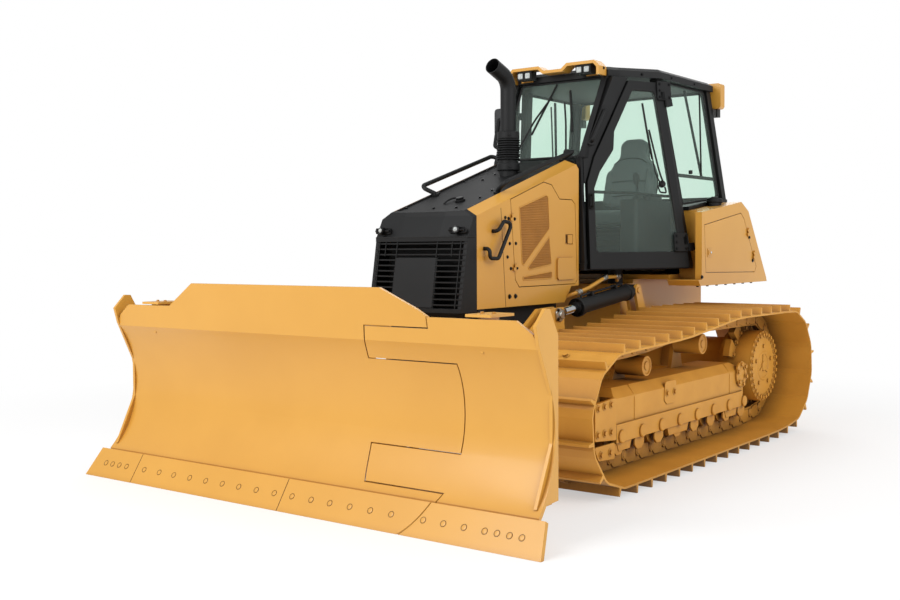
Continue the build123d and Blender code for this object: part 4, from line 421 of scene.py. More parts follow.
# Idler ends: a bolted cover on each yoke, a guard under it, and the recoil spring's cover with
# its two bolts, between the frame's welded seams.
for side, sign in sides:
    out = (0, sign, 0)
    wall = sign * 1150
    parts = [
        plate(rounded([(x, wall, z) for x, z in ((732, 516), (985, 500), (985, 286), (732, 262))], 12), 18, out),
        plate(rounded([(x, wall, z) for x, z in ((740, 250), (985, 250), (935, 165), (740, 150))], 16), 12, out),
        turned(((0, 78), (22, 78), (28, 70), (28, 48), (34, 44), (34, 30)),
               (idler.x, sign * 1116, idler.y), out, 40),
        plate(rounded([(x, wall, z) for x, z in
                       ((56, 541), (-102, 541), (-112, 420), (-66, 392), (30, 392), (68, 420))], 26), 6, out, 2),
        turned(((0, 92), (12, 92), (16, 86), (16, 60), (9, 55), (9, 30)), (-1180, wall, 474), out, 36)]
    for x, slant in ((470, -18), (-985, -20)):
        parts.append(pipe([(x, wall, 356), (x, wall, 500), (x + slant, sign * 1094, 559)], 5, 20, 8))
    for x in range(-1300, 700, 268):
        parts.append(turned(((0, 40), (10, 40), (15, 34), (15, 20)), (x + 86, sign * 1163, 274), out, 24))
        parts.append(plate(rounded([(x + 86 + a, wall - sign * 16, z) for a, z in
                                    ((-62, 236), (-62, 190), (-28, 160), (28, 160), (62, 190), (62, 236))], 16),
                           12, out, 2))
    for centre, reach in zip(carriers, (70, 65)):
        parts.append(turned(((-2, reach), (6, reach), (9, reach - 4), (9, reach - 12), (2, reach - 16), (2, 28),
                             (8, 26), (8, 12)), (centre.x, sign * 1095, centre.y), out, 40))
    shape(f"track_frame_covers_{side}", "machine", worn_and_shaded, parts)
    bolts(f"track_frame_bolts_{side}", "machine", worn_and_shaded,
          [((x, sign * 1168, z), out) for x, z in ((952, 474), (878, 478), (800, 482), (958, 322), (878, 322),
                                                   (800, 320))]
          + [((x, sign * 1156, z), out) for x, z in ((34, 466), (-72, 466))]
          + bolt_circle((-1180, sign * 1165, 474), 74, out, 6, 0.3)
          + [((x, sign * 1162, 200), out) for x in (910, 800)], 26)

# Sprocket: segments bolted round the hub, whose cover has a raised rim with small bosses all round.
for side, sign in sides:
    hub = (sprocket.x, sign * 1150, sprocket.y)
    out = (0, sign, 0)
    shape(f"hub_cover_{side}", "machine", worn_and_shaded, [
        turned(((-240, 268), (-20, 268), (-2, 262), (4, 250), (4, 226), (-4, 216), (-4, 120), (6, 104), (6, 92),
                (-2, 84), (-2, 40), (10, 36), (10, 20)), hub, out, 64),
        *[plate([(sprocket.x + r * math.cos(a + d), sign * 1144, sprocket.y + r * math.sin(a + d))
                 for r, d in ((30, -0.5), (92, -0.12), (92, 0.12), (30, 0.5))], 12, out)
          for a in [math.pi / 2 + i * 2 * math.pi / 3 for i in range(3)]]])
    bolts(f"hub_bolts_{side}", "machine", worn_and_shaded,
          bolt_circle((sprocket.x, sign * 1153, sprocket.y), 238, out, 30)
          + bolt_circle((sprocket.x, sign * 1146, sprocket.y), 150, out, 5, math.pi / 2), 26)
    bolts(f"sprocket_segment_bolts_{side}", "machine", worn_and_shaded,
          bolt_circle((sprocket.x, sign * 1024, sprocket.y), 292, out, 18), 24)

# ---------------------------------------------------------------- hood and nose
# The hood, nose cap, grille, exhaust and rails are steel with a satin black powder coat.
satin, tree, shader, place = new_material("satin_black_powder_coat", "dark_paint", Roughness=0.55,
                                          Specular_IOR_Level=0.3)
shade = blend(tree, noise(tree, place, 350, 0.35, 0.65), "#101112", "#151617")
# painted shade: the coat darkens to near black in corners and crevices, by ambient occlusion
shade = blend(tree, painted_shade_share(tree, 60, 0.3, 0.9), shade, "#070707")
tree.links.new(shade, shader.inputs["Base Color"])
relief(tree, shader, noise(tree, place, 3, 0.3, 0.7), 0.05, edge_mm=3.0)
dress(satin, "hood", "nose_cap", "grille", "exhaust_stack", "handrails", "cab_base", "cab_posts", "cab_roof",
      "cab_door_left", "cab_door_right", "lift_left_barrel", "lift_right_barrel")

# Fasteners on the black and yellow panels are zinc-plated and passivated black.
black_zinc, tree, shader, place = new_material("black_passivated_zinc", "dark_paint", Roughness=0.32, Metallic=0.6)
shaded(tree, shader, place, 8, "#101011", "#1A1A1B")

# The grille's louvers are stiffened by mullions at the facets' edges and halfway out, with a
# fine dark insect screen behind; the smooth blank panel covers the middle of the lower rows.
screen_black, tree, shader, place = new_material("woven_insect_screen", "dark_paint", Roughness=0.85)
weave = [add(tree, "ShaderNodeTexWave", [("Vector", place)], wave_type="BANDS", bands_direction=axis,
             Scale=60.0).outputs["Fac"] for axis in "YZ"]
crossed = add(tree, "ShaderNodeMath", [(0, weave[0]), (1, weave[1])], operation="MAXIMUM").outputs[0]
tree.links.new(blend(tree, crossed, "#020202", "#0B0B0B"), shader.inputs["Base Color"])
relief(tree, shader, crossed, 0.8)
shape("insect_screen", "machine", screen_black, [
    plate([(1018, y, z) for y, z in ((-334, 1040), (334, 1040), (334, 1440), (-334, 1440))], 3, (1, 0, 0), 1)])


def nose_face(z, y):
    """Station of the nose's outer face at a height and a distance out from the middle."""
    return 1136 + 80 * (1470 - z) / 460 - 28 * max(0.0, (abs(y) - 158) / 204)


shape("grille_mullions", "machine", satin, [
    plate([(nose_face(z, y) - d, y + w, z) for z, d, w in
           ((1442, 1, -3), (1442, 1, 3), (low, 1, 3), (low, 1, -3))], 4, (1, 0, 0.17), 1)
    for y, low in ((-158, 1345), (158, 1345), (-262, 1352), (262, 1352), (-320, 1036), (320, 1036))]
    + [plate(rounded([(nose_face(z, 0) - 4, y, z) for y, z in
                      ((-162, 1038), (162, 1038), (158, 1344), (-158, 1344))], 6, 2), 5, (1, 0, 0.17), 2)])

# The nose cap carries two marker lamps in clamps over its seam, and a rubber strip along the seam.
rubber, tree, shader, place = new_material("black_moulded_rubber", "dark_paint", Roughness=0.75)
shaded(tree, shader, place, 20, "#0C0C0C", "#131313")
relief(tree, shader, noise(tree, place, 2, 0.3, 0.7), 0.08)
shape("nose_seam_strip", "machine", rubber, [
    pipe([(1040, -363, 1471), (1109, -363, 1471), (1137, -158, 1471), (1137, 158, 1471), (1109, 363, 1471),
          (1040, 363, 1471)], 5, 8, 8)])
lamp_parts, lens_parts = [], []
for side in (-1, 1):
    ahead = Vector((0.98, 0.13 * side, 0.14)).normalized()
    base = Vector((1118, side * 292, 1512))
    lamp_parts += [turned(((-14, 20), (0, 24), (26, 24), (30, 21), (30, 14)), base, ahead, 24),
                   plate(rounded([base + Vector((-8, a, b)) for a, b in
                                  ((-62, -20), (62, -20), (62, 18), (-62, 18))], 8, 2), 12, ahead),
                   pipe([base + Vector((8, -58, 0)), base + Vector((14, 58, 0))], 7, 10, 8)]
    lens_parts.append(turned(((29, 14), (33, 13), (36, 8), (37, 2)), base, ahead, 20))
shape("marker_lamp_clamps", "machine", black_zinc, lamp_parts)
lens, tree, shader, place = new_material("clear_polycarbonate_lens", "lamp_glass", Roughness=0.06)
shaded(tree, shader, place, 20, "#A9AFAE", "#C2C7C5")
flutes = add(tree, "ShaderNodeTexWave", [("Vector", place)], wave_type="BANDS", bands_direction="Y", Scale=70.0)
relief(tree, shader, flutes.outputs["Fac"], 0.6)
shape("marker_lamp_lenses", "machine", lens, lens_parts)


# the hood's front edge, how fast it rises to the rear, and its shoulders' height above its top
hood_front_x, hood_front_z, hood_rise, shoulder_height = 1015, 1641, 0.3161, 12


def on_hood(x, y, above=0.0):
    """A point on the hood's flat top."""
    return (x, y, hood_front_z + (hood_front_x - x) * hood_rise - shoulder_height + above)


hood_out = (0.3014, 0, 0.9535)
bolts("hood_bolts", "machine", black_zinc, [
    (on_hood(x, y), hood_out) for x in (913, 567, 281, -5) for y in (-268, 268)] + [
    (on_hood(x, y), hood_out) for x, y in ((258, -123), (115, -118), (715, 176), (935, -29), (935, 150), (548, 154),
                                           (-178, 249), (-178, -249), (258, 123))], 15)
shape("hood_filler_and_lift_loop", "machine", black_zinc, [
    turned(((0, 34), (10, 34), (14, 30), (14, 26), (24, 26), (28, 22), (28, 12)), on_hood(783, 69, -1), hood_out, 28),
    pipe([on_hood(839, -20, 2), on_hood(820, -10, 16), on_hood(770, 0, 18), on_hood(706, 10, 3)], 6, 20, 8)])
shape("hood_edge_trim", "machine", rubber, [
    plate([on_hood(-215, y, 2), on_hood(-215, y + 9, 2), on_hood(1000, y + 9, 2), on_hood(1000, y, 2)], 9,
          hood_out, 3) for y in (-289, 280)])

# Exhaust: a bellows section between two clamp bands, and the pipe with its swept outlet.
stack_x = 125
stack_foot = hood_front_z + (hood_front_x - stack_x) * hood_rise
shape("exhaust_clamps", "machine", satin, [
    turned(((-26, 66), (-26, 74), (-20, 78), (20, 78), (26, 74), (26, 66)), (stack_x, 0, stack_foot + z), (0, 0, 1), 40)
    for z in (36, 252)] + [
    turned(((0, 75), (3, 82), (8, 82), (12, 75)), (stack_x, 0, stack_foot + 214 - 16 * i), (0, 0, 1), 40)
    for i in range(9)] + [
    pipe([(stack_x + math.cos(a) * reach, math.sin(a) * reach, stack_foot + z) for reach in (70, 92)], 8, 5, 8)
    for z in (36, 252) for a in (0.7, 3.9)])

# Side panels: the engine doors' ventilation openings are backed by punched and crimped wire screens
# that take the enamel darker; the seams, hinge bolts and latches are as the panels are hung.
wire_paint, tree, shader, place = new_material("enamelled_wire_screen", "paint", Roughness=0.6)
shaded(tree, shader, place, 150, "#A8722C", "#B27A31")
# painted shade: a dark brown sheet on the vent recesses' floor, under the wires, stands for the shade inside the
# openings
vent_shade_sheet, tree, shader, place = new_material("painted_shade_behind_vents", "dark_paint", Roughness=0.95)
shaded(tree, shader, place, 9, "#5A3A12", "#70491A", 0.3)
relief(tree, shader, noise(tree, place, 9, 0.3, 0.7), 1.0)

wire_group, source, result = new_group("crimped_wires", ("Wire Width",))
line = add(wire_group, "GeometryNodeMeshToCurve", [(0, source.outputs[0])])
wide = add(wire_group, "ShaderNodeMath", [(0, source.outputs["Wire Width"])], operation="MULTIPLY")
wide.inputs[1].default_value = 0.5
section = add(wire_group, "GeometryNodeCurvePrimitiveCircle", [("Radius", wide.outputs[0])], Resolution=5)
wires = add(wire_group, "GeometryNodeCurveToMesh", [(0, line.outputs[0]), (1, section.outputs[0])])
close_group(wire_group, source, result, wires.outputs[0])


def wire_screen(outline, gap):
    """Upright and level wires across an outline of (x, z), as (x, z) pairs of ends."""
    ends = []
    for axis in (0, 1):
        low, high = min(p[axis] for p in outline), max(p[axis] for p in outline)
        level = low + gap / 2
        while level < high:
            cuts = []
            for a, b in zip(outline, outline[1:] + outline[:1]):
                if (a[axis] - level) * (b[axis] - level) < 0:
                    cuts.append(a[1 - axis] + (b[1 - axis] - a[1 - axis]) * (level - a[axis]) / (b[axis] - a[axis]))
            cuts.sort()
            for start, end in zip(cuts[::2], cuts[1::2]):
                ends.append([(level, c) if axis == 0 else (c, level) for c in (start, end)])
            level += gap
    return ends


# how far the side panels' outer faces stand out from the middle
panel_side = 362
vents = (((541, 1660), (212, 1752), (192, 1738), (175, 1529), (492, 1290), (511, 1300)),
         ((179, 1475), (152, 1290), (427, 1258), (440, 1276)),
         ((499, 1213), (145, 1241), (143, 1196), (499, 1192)))
for side, sign in sides:
    body = f"engine_door_{side}"
    out = (0, sign, 0)
    # the dark sheet of painted shade behind each vent's wires
    shape(f"vent_painted_shade_{side}", body, vent_shade_sheet, [
        plate([(x, sign * 356.2, z) for x, z in vent], 0.8, out, 0.2) for vent in vents])
    points, edges = [], []
    for vent in vents:
        for ends in wire_screen(list(vent), 11.0):
            edges.append((len(points), len(points) + 1))
            points += [(x, sign * 359.5, z) for x, z in ends]
    evaluated(f"vent_wires_{side}", body, wire_paint, wire_group, {"Wire Width": 7.0}, points, edges)
    shape(f"engine_door_trim_{side}", body, enamel, [
        pipe([(x, sign * panel_side, z) for x, z in (*vent, vent[0])], 4, 14, 8) for vent in vents]
        + [plate(rounded([(x, sign * 358, z) for x, z in ((-62, 1428), (-122, 1428), (-122, 1489), (-62, 1489))], 8),
                 7, out)])
    shape(f"engine_door_latch_{side}", body, black_zinc, [
        plate([(x, sign * 355, z) for x, z in ((-36, 1430), (-56, 1430), (-56, 1488), (-36, 1488))], 2, out, 0.5)])
    bolts(f"engine_door_bolts_{side}", body, black_zinc,
          [((x, sign * panel_side, z), out) for x, z in ((596, 1586), (584, 1430), (570, 1272))], 13)
    bolts(f"panel_bolts_{side}", "machine", black_zinc,
          [((x, sign * panel_side, z), out) for x, z in ((668, 1588), (655, 1429), (642, 1270))]
          + [((x, sign * panel_side, z), out) for x, z in ((704, 1593), (680, 1344))], 13)
    bolts(f"panel_foot_bolts_{side}", "machine", black_zinc,
          [((x, sign * panel_side, z), out) for x, z in ((658, 1092), (590, 1092))], 18)

# the front panel's rear seam on each side
joint, tree, shader, place = new_material("shadowed_panel_joint", "paint", Roughness=0.9)
shaded(tree, shader, place, 60, "#4A3210", "#5A3D15")
for side, sign in sides:
    shape(f"front_panel_joint_{side}", "machine", joint, [
        plate([(x, sign * panel_side, z) for x, z in ((754, 1652), (750, 1652), (699, 1028), (703, 1028))], 0.7,
              (0, sign, 0), 0.2)])

# ---------------------------------------------------------------- cab
# Consoles, pods and trim are injection-moulded grey plastic with a fine leather grain.
trim, tree, shader, place = new_material("moulded_grey_trim", "dark_paint", Roughness=0.62)
shaded(tree, shader, place, 60, "#2A2C2E", "#323436")
grain = add(tree, "ShaderNodeTexVoronoi", [("Vector", place)], feature="F1", Scale=420.0)
relief(tree, shader, grain.outputs["Distance"], 0.15, edge_mm=6.0)
dress(trim, "consoles")


def show(tree, node):
    """Makes a shader node the surface of its material."""
    ends = [n for n in tree.nodes if n.type == "OUTPUT_MATERIAL"]
    tree.links.new(node.outputs[0], ends[0].inputs["Surface"])


# Laminated green-tinted glass, set in black rubber seals: it tints what is seen through it, and
# its surface reflects the studio with a faint film of dust.
tinted, tree, shader, place = new_material("green_tinted_safety_glass", "tinted_glass", Roughness=0.02, Alpha=0.2)
shaded(tree, shader, place, 500, "#A3AFAA", "#B0BBB6")
clear = add(tree, "ShaderNodeBsdfTransparent")
tree.links.new(blend(tree, noise(tree, place, 900, 0.3, 0.7), "#F4FFF9", "#F0FFF7"), clear.inputs["Color"])
layers = add(tree, "ShaderNodeMixShader", [(1, clear.outputs[0]), (2, shader.outputs[0])])
layers.inputs[0].default_value = 0.4
show(tree, layers)
dress(tinted, "cab_glass", "door_glass_left", "door_glass_right")

door_foot, door_back, door_top = (Vector(p) for p in ((-215, 400, 1240), (-1117, 800, 1240), (-932, 626, 2700)))
along_door = (door_back - door_foot).normalized()
out_of_door = (door_top - door_foot).cross(along_door).normalized()
out_of_door *= math.copysign(1, out_of_door.y)
up_door = out_of_door.cross(along_door)
up_door *= math.copysign(1, up_door.z)


def on_door(along, up, out=0.0, side=1):
    """A point on a cab door's outer face: back along it, up it and out from it."""
    point = door_foot + along * along_door + up * up_door + out * out_of_door
    return Vector((point.x, side * point.y, point.z))


door_window = ((112, 120), (892, 120), (698, 1300), (484, 1300), (304, 990), (292, 860), (166, 700), (112, 580))
for side, sign in sides:
    body = f"cab_door_{side}"
    out = Vector((out_of_door.x, sign * out_of_door.y, out_of_door.z))
    border = [Vector((*corner, 0)) for corner in door_window]
    border = rounded(border, 44, 5)
    shape(f"door_window_seal_{side}", body, rubber, [
        pipe([on_door(p.x, p.y, depth, sign) for p in (*border, border[0])], 9, 2, 8) for depth in (-8, -26)])
    # two-part hinges under wide pressed covers, each held by five screws
    for number, (level, along) in enumerate(((1232, 800), (126, 912))):
        shape(f"door_hinge_cover_{side}_{number}", body, satin, [
            plate(rounded([on_door(along + a, level + u, 1, sign) for a, u in
                           ((-96, 0), (30, 0), (30, 138), (-96, 138))], 14), 17, out, 4)])
        bolts(f"door_hinge_screws_{side}_{number}", body, black_zinc,
              [(on_door(along + a, level + u, 18, sign), out)
               for a, u in ((-78, 22), (-78, 69), (-78, 116), (12, 22), (12, 116))], 13)
    # outside handle with its push button, inside pull bar, and the door's wiper on its motor's spindle
    shape(f"door_latch_{side}", body, satin, [
        plate(rounded([on_door(a, u, 0, sign) for a, u in ((66, 430), (106, 430), (106, 540), (66, 540))], 10), 12,
              out, 3),
        pipe([on_door(78, 446, 10, sign), on_door(78, 446, 34, sign), on_door(78, 528, 34, sign),
              on_door(78, 528, 10, sign)], 8, 14, 10),
        pipe([on_door(130, 560, -34, sign), on_door(150, 560, -70, sign), on_door(520, 560, -80, sign),
              on_door(820, 540, -70, sign), on_door(860, 540, -34, sign)], 11, 30, 10)])
    shape(f"door_wiper_{side}", body, rubber, [
        turned(((-12, 26), (8, 26), (14, 20), (22, 16), (22, 8)), on_door(736, 622, -8, sign), out, 20),
        pipe([on_door(736, 622, 10, sign), on_door(690, 700, 22, sign), on_door(610, 1010, 16, sign)], 7, 40, 8),
        pipe([on_door(718, 610, 8, sign), on_door(655, 690, 18, sign), on_door(600, 990, 14, sign)], 5, 40, 8),
        pipe([on_door(640, 800, 5, sign), on_door(600, 1000, 5, sign), on_door(566, 1200, 5, sign)], 8, 40, 8),
        pipe([on_door(690, 610, -2, sign), on_door(700, 560, 8, sign), on_door(760, 556, 8, sign),
              on_door(756, 600, -2, sign)], 6, 16, 8)])
    # grab handle bolted to the windscreen pillar ahead of the door
    shape(f"pillar_handle_{side}", "machine", satin, [
        pipe([on_door(112, 906, -14, sign), on_door(96, 912, 26, sign), on_door(214, 1128, 30, sign),
              on_door(232, 1124, -14, sign)], 15, 26, 12),
        plate(rounded([on_door(a, u, -8, sign) for a, u in ((66, 880), (128, 880), (268, 1150), (212, 1160))], 16),
              14, out, 3)])

# Rubber seals round the fixed panes, and the side window's sliding catch.
panes = {
    "windscreen": ((-290, -326, 2040), (-290, 326, 2040), (-590, 346, 2622), (-590, -346, 2622)),
    "rear_pane": ((-1902, -652, 1788), (-1902, 652, 1788), (-1826, 552, 2622), (-1826, -552, 2622)),
}
for name, corners in panes.items():
    shape(f"{name}_seal", "machine", rubber, [pipe([*corners, corners[0]], 10, 40, 8)])
for side, sign in sides:
    pane = [(-1172, 690, 1716), (-1843, 691, 1784), (-1760, 592, 2629), (-1030, 578, 2629)]
    pane = [Vector((x, sign * y, z)) for x, y, z in pane]
    middle = sum(pane, Vector()) / 4
    pane = [middle + 0.985 * (p - middle) for p in pane]
    out = Vector((0.0, sign, 0.11))
    shape(f"side_pane_seal_{side}", "machine", rubber, [pipe([*pane, pane[0]], 10, 40, 8)])
    slider = [pane[0].lerp(pane[3], 0.24), pane[1].lerp(pane[2], 0.19)]
    shape(f"side_window_catch_{side}", "machine", rubber, [
        pipe([slider[0].lerp(slider[1], t) + Vector((0, 0, h)) for t, h in ((0.62, 8), (0.56, 640))], 7, 10, 8),
        plate(rounded([slider[0].lerp(slider[1], t) + Vector((0, 4 * sign, h)) for t, h in
                       ((0.28, 12), (0.34, 12), (0.34, 40), (0.28, 40))], 5, 2), 14, out)])

# Windscreen wipers on their spindles, with arms and blades.
glass_out = Vector((0.889, 0, 0.457))


def on_screen(y, z, out=0.0):
    """A point on the windscreen's outer face."""
    return Vector((-284 - (z - 2034) * 308 / 593.3, y, z)) + (4 + out) * glass_out


shape("windscreen_wipers", "machine", rubber, [part for low, high in (((-210, 2072), (-40, 2560)),
                                                                      ((215, 2072), (90, 2500))) for part in (
    turned(((-6, 24), (10, 24), (18, 18), (26, 14), (26, 6)), on_screen(*low), glass_out, 20),
    pipe([on_screen(*low, 16), on_screen((low[0] + high[0]) / 2, (low[1] + high[1]) / 2, 24),
          on_screen(high[0], high[1] - 60, 14)], 7, 40, 8),
    pipe([on_screen(low[0] * 0.72 + high[0] * 0.28 + 34, low[1] + 150, 6),
          on_screen(high[0] + 12, high[1] + 40, 6)], 8, 10, 8))])

# Roof: bolts along the visor, work lamps with ribbed housings and clear lenses, and the right mirror.
bolts("visor_bolts", "machine", black_zinc, [
    ((-540, y, 2734 if abs(y) > 120 else 2698), (0, 0, 1)) for y in (-310, -180, -50, 50, 180, 310)]
    + [((-520, side * 388, 2680), (0, side, 0)) for side in (-1, 1)], 13)
housings, lenses = [], []
for y in (-250, 250):
    for a in (-31, 31):
        housings.append(plate(rounded([(-472, y + a + p, z) for p, z in
                                       ((-27, 2648), (27, 2648), (27, 2704), (-27, 2704))], 9), 11, (1, 0, -0.12), 3))
        lenses.append(plate(rounded([(-460, y + a + p, z) for p, z in
                                     ((-20, 2656), (20, 2656), (20, 2696), (-20, 2696))], 8), 4, (1, 0, -0.12), 2))
for y in (-616, 616):
    housings += [plate(rounded([(x, y - 30, z) for x, z in ((-1896, 2440), (-1832, 2440), (-1832, 2496),
                                                            (-1896, 2496))], 8), 60, (0, 1, 0), 4),
                 pipe([(-1866, y, 2440), (-1866, y, 2420), (-1900, y, 2398)], 10, 12, 8)]
    lenses.append(plate(rounded([(-1898, y + a, z) for a, z in ((-24, 2446), (24, 2446), (24, 2490), (-24, 2490))],
                                6), 4, (-1, 0, 0), 1))
lamp_black, tree, shader, place = new_material("die_cast_lamp_housing", "dark_paint", Roughness=0.55)
fins = add(tree, "ShaderNodeTexWave", [("Vector", place)], wave_type="BANDS", bands_direction="Z", Scale=34.0)
shaded(tree, shader, place, 12, "#0E0E0E", "#161616")
relief(tree, shader, fins.outputs["Fac"], 2.0)
dress(lamp_black, "lamps")
shape("lamp_housings", "machine", lamp_black, housings)
shape("lamp_lenses", "machine", lens, lenses)
shape("mirror", "machine", trim, [
    pipe([(-480, -372, 2560), (-452, -430, 2520), (-440, -442, 2440)], 8, 20, 8),
    pipe([(-470, -378, 2210), (-440, -430, 2200), (-440, -442, 2270)], 8, 20, 8),
    plate(rounded([(-438, a - 442, z) for a, z in ((-60, 2240), (60, 2240), (60, 2450), (-60, 2450))], 30), 30,
          (-1, 0, 0), 8)])
silvered, tree, shader, place = new_material("silvered_mirror_glass", "rod_chrome", Roughness=0.03, Metallic=1.0)
shaded(tree, shader, place, 60, "#C4CACC", "#CDD3D5")
shape("mirror_glass", "machine", silvered, [
    plate(rounded([(-468, a - 442, z) for a, z in ((-48, 2254), (48, 2254), (48, 2436), (-48, 2436))], 22), 2,
          (-1, 0, 0), 0.5)])
bolts("roof_bolts", "machine", black_zinc, [
    ((x, side * y, 2652), (0.4 if x > -900 else 0, side, 0)) for x, y in ((-800, 549), (-1100, 640), (-1500, 640))
    for side in (-1, 1)], 13)

# Inside: an instrument binnacle with a sloped screen, joystick pods on the consoles, pedals and mat.
shape("instrument_binnacle", "machine", trim, [
    plate(rounded([(x, -210, z) for x, z in ((-452, 1936), (-300, 1936), (-300, 2010), (-392, 2050))], 14), 420,
          (0, 1, 0), 8)])
screen_glass, tree, shader, place = new_material("switched_off_display_glass", "dark_paint", Roughness=0.08)
shaded(tree, shader, place, 200, "#05070A", "#080B0F")
shape("instrument_display", "machine", screen_glass, [
    plate(rounded([(-452 + 60 * t, y, 1940 + 108 * t) for y, t in ((-120, 0.15), (120, 0.15), (120, 0.9), (-120, 0.9))],
                  8), 3, (-0.87, 0, 0.48), 1)])
levers = []
for sign in (-1, 1):
    foot = (-1120, sign * 350, 1762)
    levers += [turned(((0, 52), (6, 50), (26, 34), (40, 22), (60, 15), (60, 8)), foot, (0, 0, 1), 28),
               pipe([(-1120, sign * 350, 1800), (-1114, sign * 350, 1860), (-1100, sign * 348, 1896)], 10, 20, 10),
               turned(((0, 18), (14, 26), (50, 28), (78, 24), (92, 12), (94, 4)), (-1104, sign * 348, 1880),
                      (0.15, 0, 1), 24),
               plate(rounded([(-1190 + a, sign * 350 + b, 1762) for a, b in
                              ((-230, -62), (0, -62), (0, 62), (-230, 62))], 22), 44, (0, 0, 1), 14)]
shape("levers_and_armrests", "machine", trim, levers)
shape("pedals", "machine", rubber, [
    plate(rounded([Vector((-500 + 40 * t, y + b, 1330 + 110 * t)) for b, t in ((-45, 0), (45, 0), (45, 1), (-45, 1))],
                  10), 10, (-0.94, 0, 0.34), 3) for y in (-130, 130)] + [
    plate(rounded([(x, y, 1290.4) for x, y in ((-960, -270), (-470, -270), (-470, 270), (-960, 270))], 30), 6,
          (0, 0, 1), 2)])

# The seat: a suspension base in a bellows, and padded cushions in charcoal cloth.
cloth, tree, shader, place = new_material("charcoal_woven_seat_cloth", "seat_cover", Roughness=0.92, Sheen_Weight=0.35)
threads = [add(tree, "ShaderNodeTexWave", [("Vector", place)], wave_type="BANDS", bands_direction=axis,
               Scale=210.0).outputs["Fac"] for axis in "YZ"]
woven = add(tree, "ShaderNodeMath", [(0, threads[0]), (1, threads[1])], operation="MULTIPLY").outputs[0]
tree.links.new(blend(tree, woven, "#565A5C", "#707476"), shader.inputs["Base Color"])
relief(tree, shader, woven, 0.35)


def settle(made):
    """Keeps the evaluated mesh of a piece and takes its modifiers off."""
    bpy.context.view_layer.update()
    mesh = bpy.data.meshes.new_from_object(made.evaluated_get(bpy.context.evaluated_depsgraph_get()))
    made.modifiers.clear()
    made.data = mesh
    return mesh


def cushion(name, corners, thickness, out, cap_mm, inset=12.0):
    """A padded cushion over an outline: swollen by a cloth simulation, its sides pulled in."""
    out = Vector(out).normalized()
    middle = sum((Vector(c) for c in corners), Vector()) / len(corners)
    start = [middle + (Vector(c) - middle) * (1 - inset / (Vector(c) - middle).length) for c in corners]
    made = shape(name, "machine", cloth, [plate(rounded(start, 60, 6), thickness - inset, out, 16)])
    remesh = made.modifiers.new("even", "REMESH")
    remesh.mode = "VOXEL"
    remesh.voxel_size = 0.012
    even = settle(made)
    rest = [v.co.copy() for v in even.vertices]
    cloth_sim = made.modifiers.new("stuffing", "CLOTH")
    cloth_sim.settings.use_pressure = True
    cloth_sim.settings.uniform_pressure_force = 4.0
    cloth_sim.settings.effector_weights.gravity = 0.0
    cloth_sim.collision_settings.use_collision = False
    for number in range(1, 21):
        bpy.context.scene.frame_set(number)
    puffed = bpy.data.meshes.new_from_object(made.evaluated_get(bpy.context.evaluated_depsgraph_get()))
    made.modifiers.clear()
    made.data = puffed
    for vertex, before in zip(puffed.vertices, rest):
        moved = vertex.co - before
        if moved.length > cap_mm / 1000:
            vertex.co = before + moved.normalized() * cap_mm / 1000
    bpy.context.scene.frame_set(1)
    smooth = made.modifiers.new("smooth", "SUBSURF")
    smooth.levels = smooth.render_levels = 1
    final = settle(made)
    final.polygons.foreach_set("use_smooth", [True] * len(final.polygons))
    return made


seat_back = Vector((-112, 0, 620)).normalized()
back_foot = Vector((-1719, 0, 1690))


def on_back(y, up, out=0.0):
    """A point on the seat back's front face."""
    return back_foot + Vector((120, y, 0)) + up * seat_back + out * Vector((0.984, 0, 0.178))


base = cushion("seat_cushion", [(-1762, -230, 1585), (-1300, -230, 1585), (-1300, 230, 1585), (-1762, 230, 1585)], 112,
               (0, 0, 1), 14)
back = cushion("seat_back", [on_back(y, u, -96) for y, u in
                             ((-205, 20), (205, 20), (236, 200), (232, 330), (190, 420), (140, 470), (128, 600),
                              (70, 640), (-70, 640), (-128, 600), (-140, 470), (-190, 420), (-232, 330), (-236, 200))],
               92, (0.984, 0, 0.178), 12)
bolsters = [cushion(f"seat_bolster_{side}", [on_back(sign * y, u, -20) for y, u in
                                             ((232, 40), (150, 40), (136, 200), (152, 380), (216, 350), (240, 200))],
                    44, (0.984, 0, 0.178), 6) for side, sign in sides]
# piped seams across the backrest and round the head panel
shape("seat_piping", "machine", rubber, [
    pipe([on_back(y, u, 2) for y, u in ((-150, 250), (0, 258), (150, 250))], 4, 30, 8),
    pipe([on_back(y, u, 2) for y, u in ((-136, 130), (0, 138), (136, 130))], 4, 30, 8),
    pipe([on_back(y, u, 0) for y, u in ((-150, 400), (-90, 440), (0, 448), (90, 440), (150, 400))], 4, 30, 8)])
seat_middle = -1565
shape("seat_suspension", "machine", rubber, [
    plate(rounded([(seat_middle + a, b, 1291)
                   for a, b in ((-190, -180), (190, -180), (190, 180), (-190, 180))], 40), 20, (0, 0, 1), 4)] + [
    plate(rounded([(seat_middle + a * s, b * s, 1310 + 30 * i) for a, b in
                   ((-186, -176), (186, -176), (186, 176), (-186, 176))], 40), 30, (0, 0, 1), 10)
    for i, s in ((n, 1.0 if n % 2 else 0.96) for n in range(8))])
shape("seat_back_shell", "machine", trim, [
    plate(rounded([on_back(y, u, -88) for y, u in
                   ((-190, 20), (190, 20), (216, 200), (212, 320), (170, 410), (122, 460), (110, 580),
                    (-110, 580), (-122, 460), (-170, 410), (-212, 320), (-216, 200))], 40), 20, (-0.984, 0, -0.178), 8),
    plate(rounded([(-1770, -215, 1562), (-1310, -215, 1562), (-1310, 215, 1562), (-1770, 215, 1562)], 50), 20,
          (0, 0, 1), 6)])
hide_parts("seat")

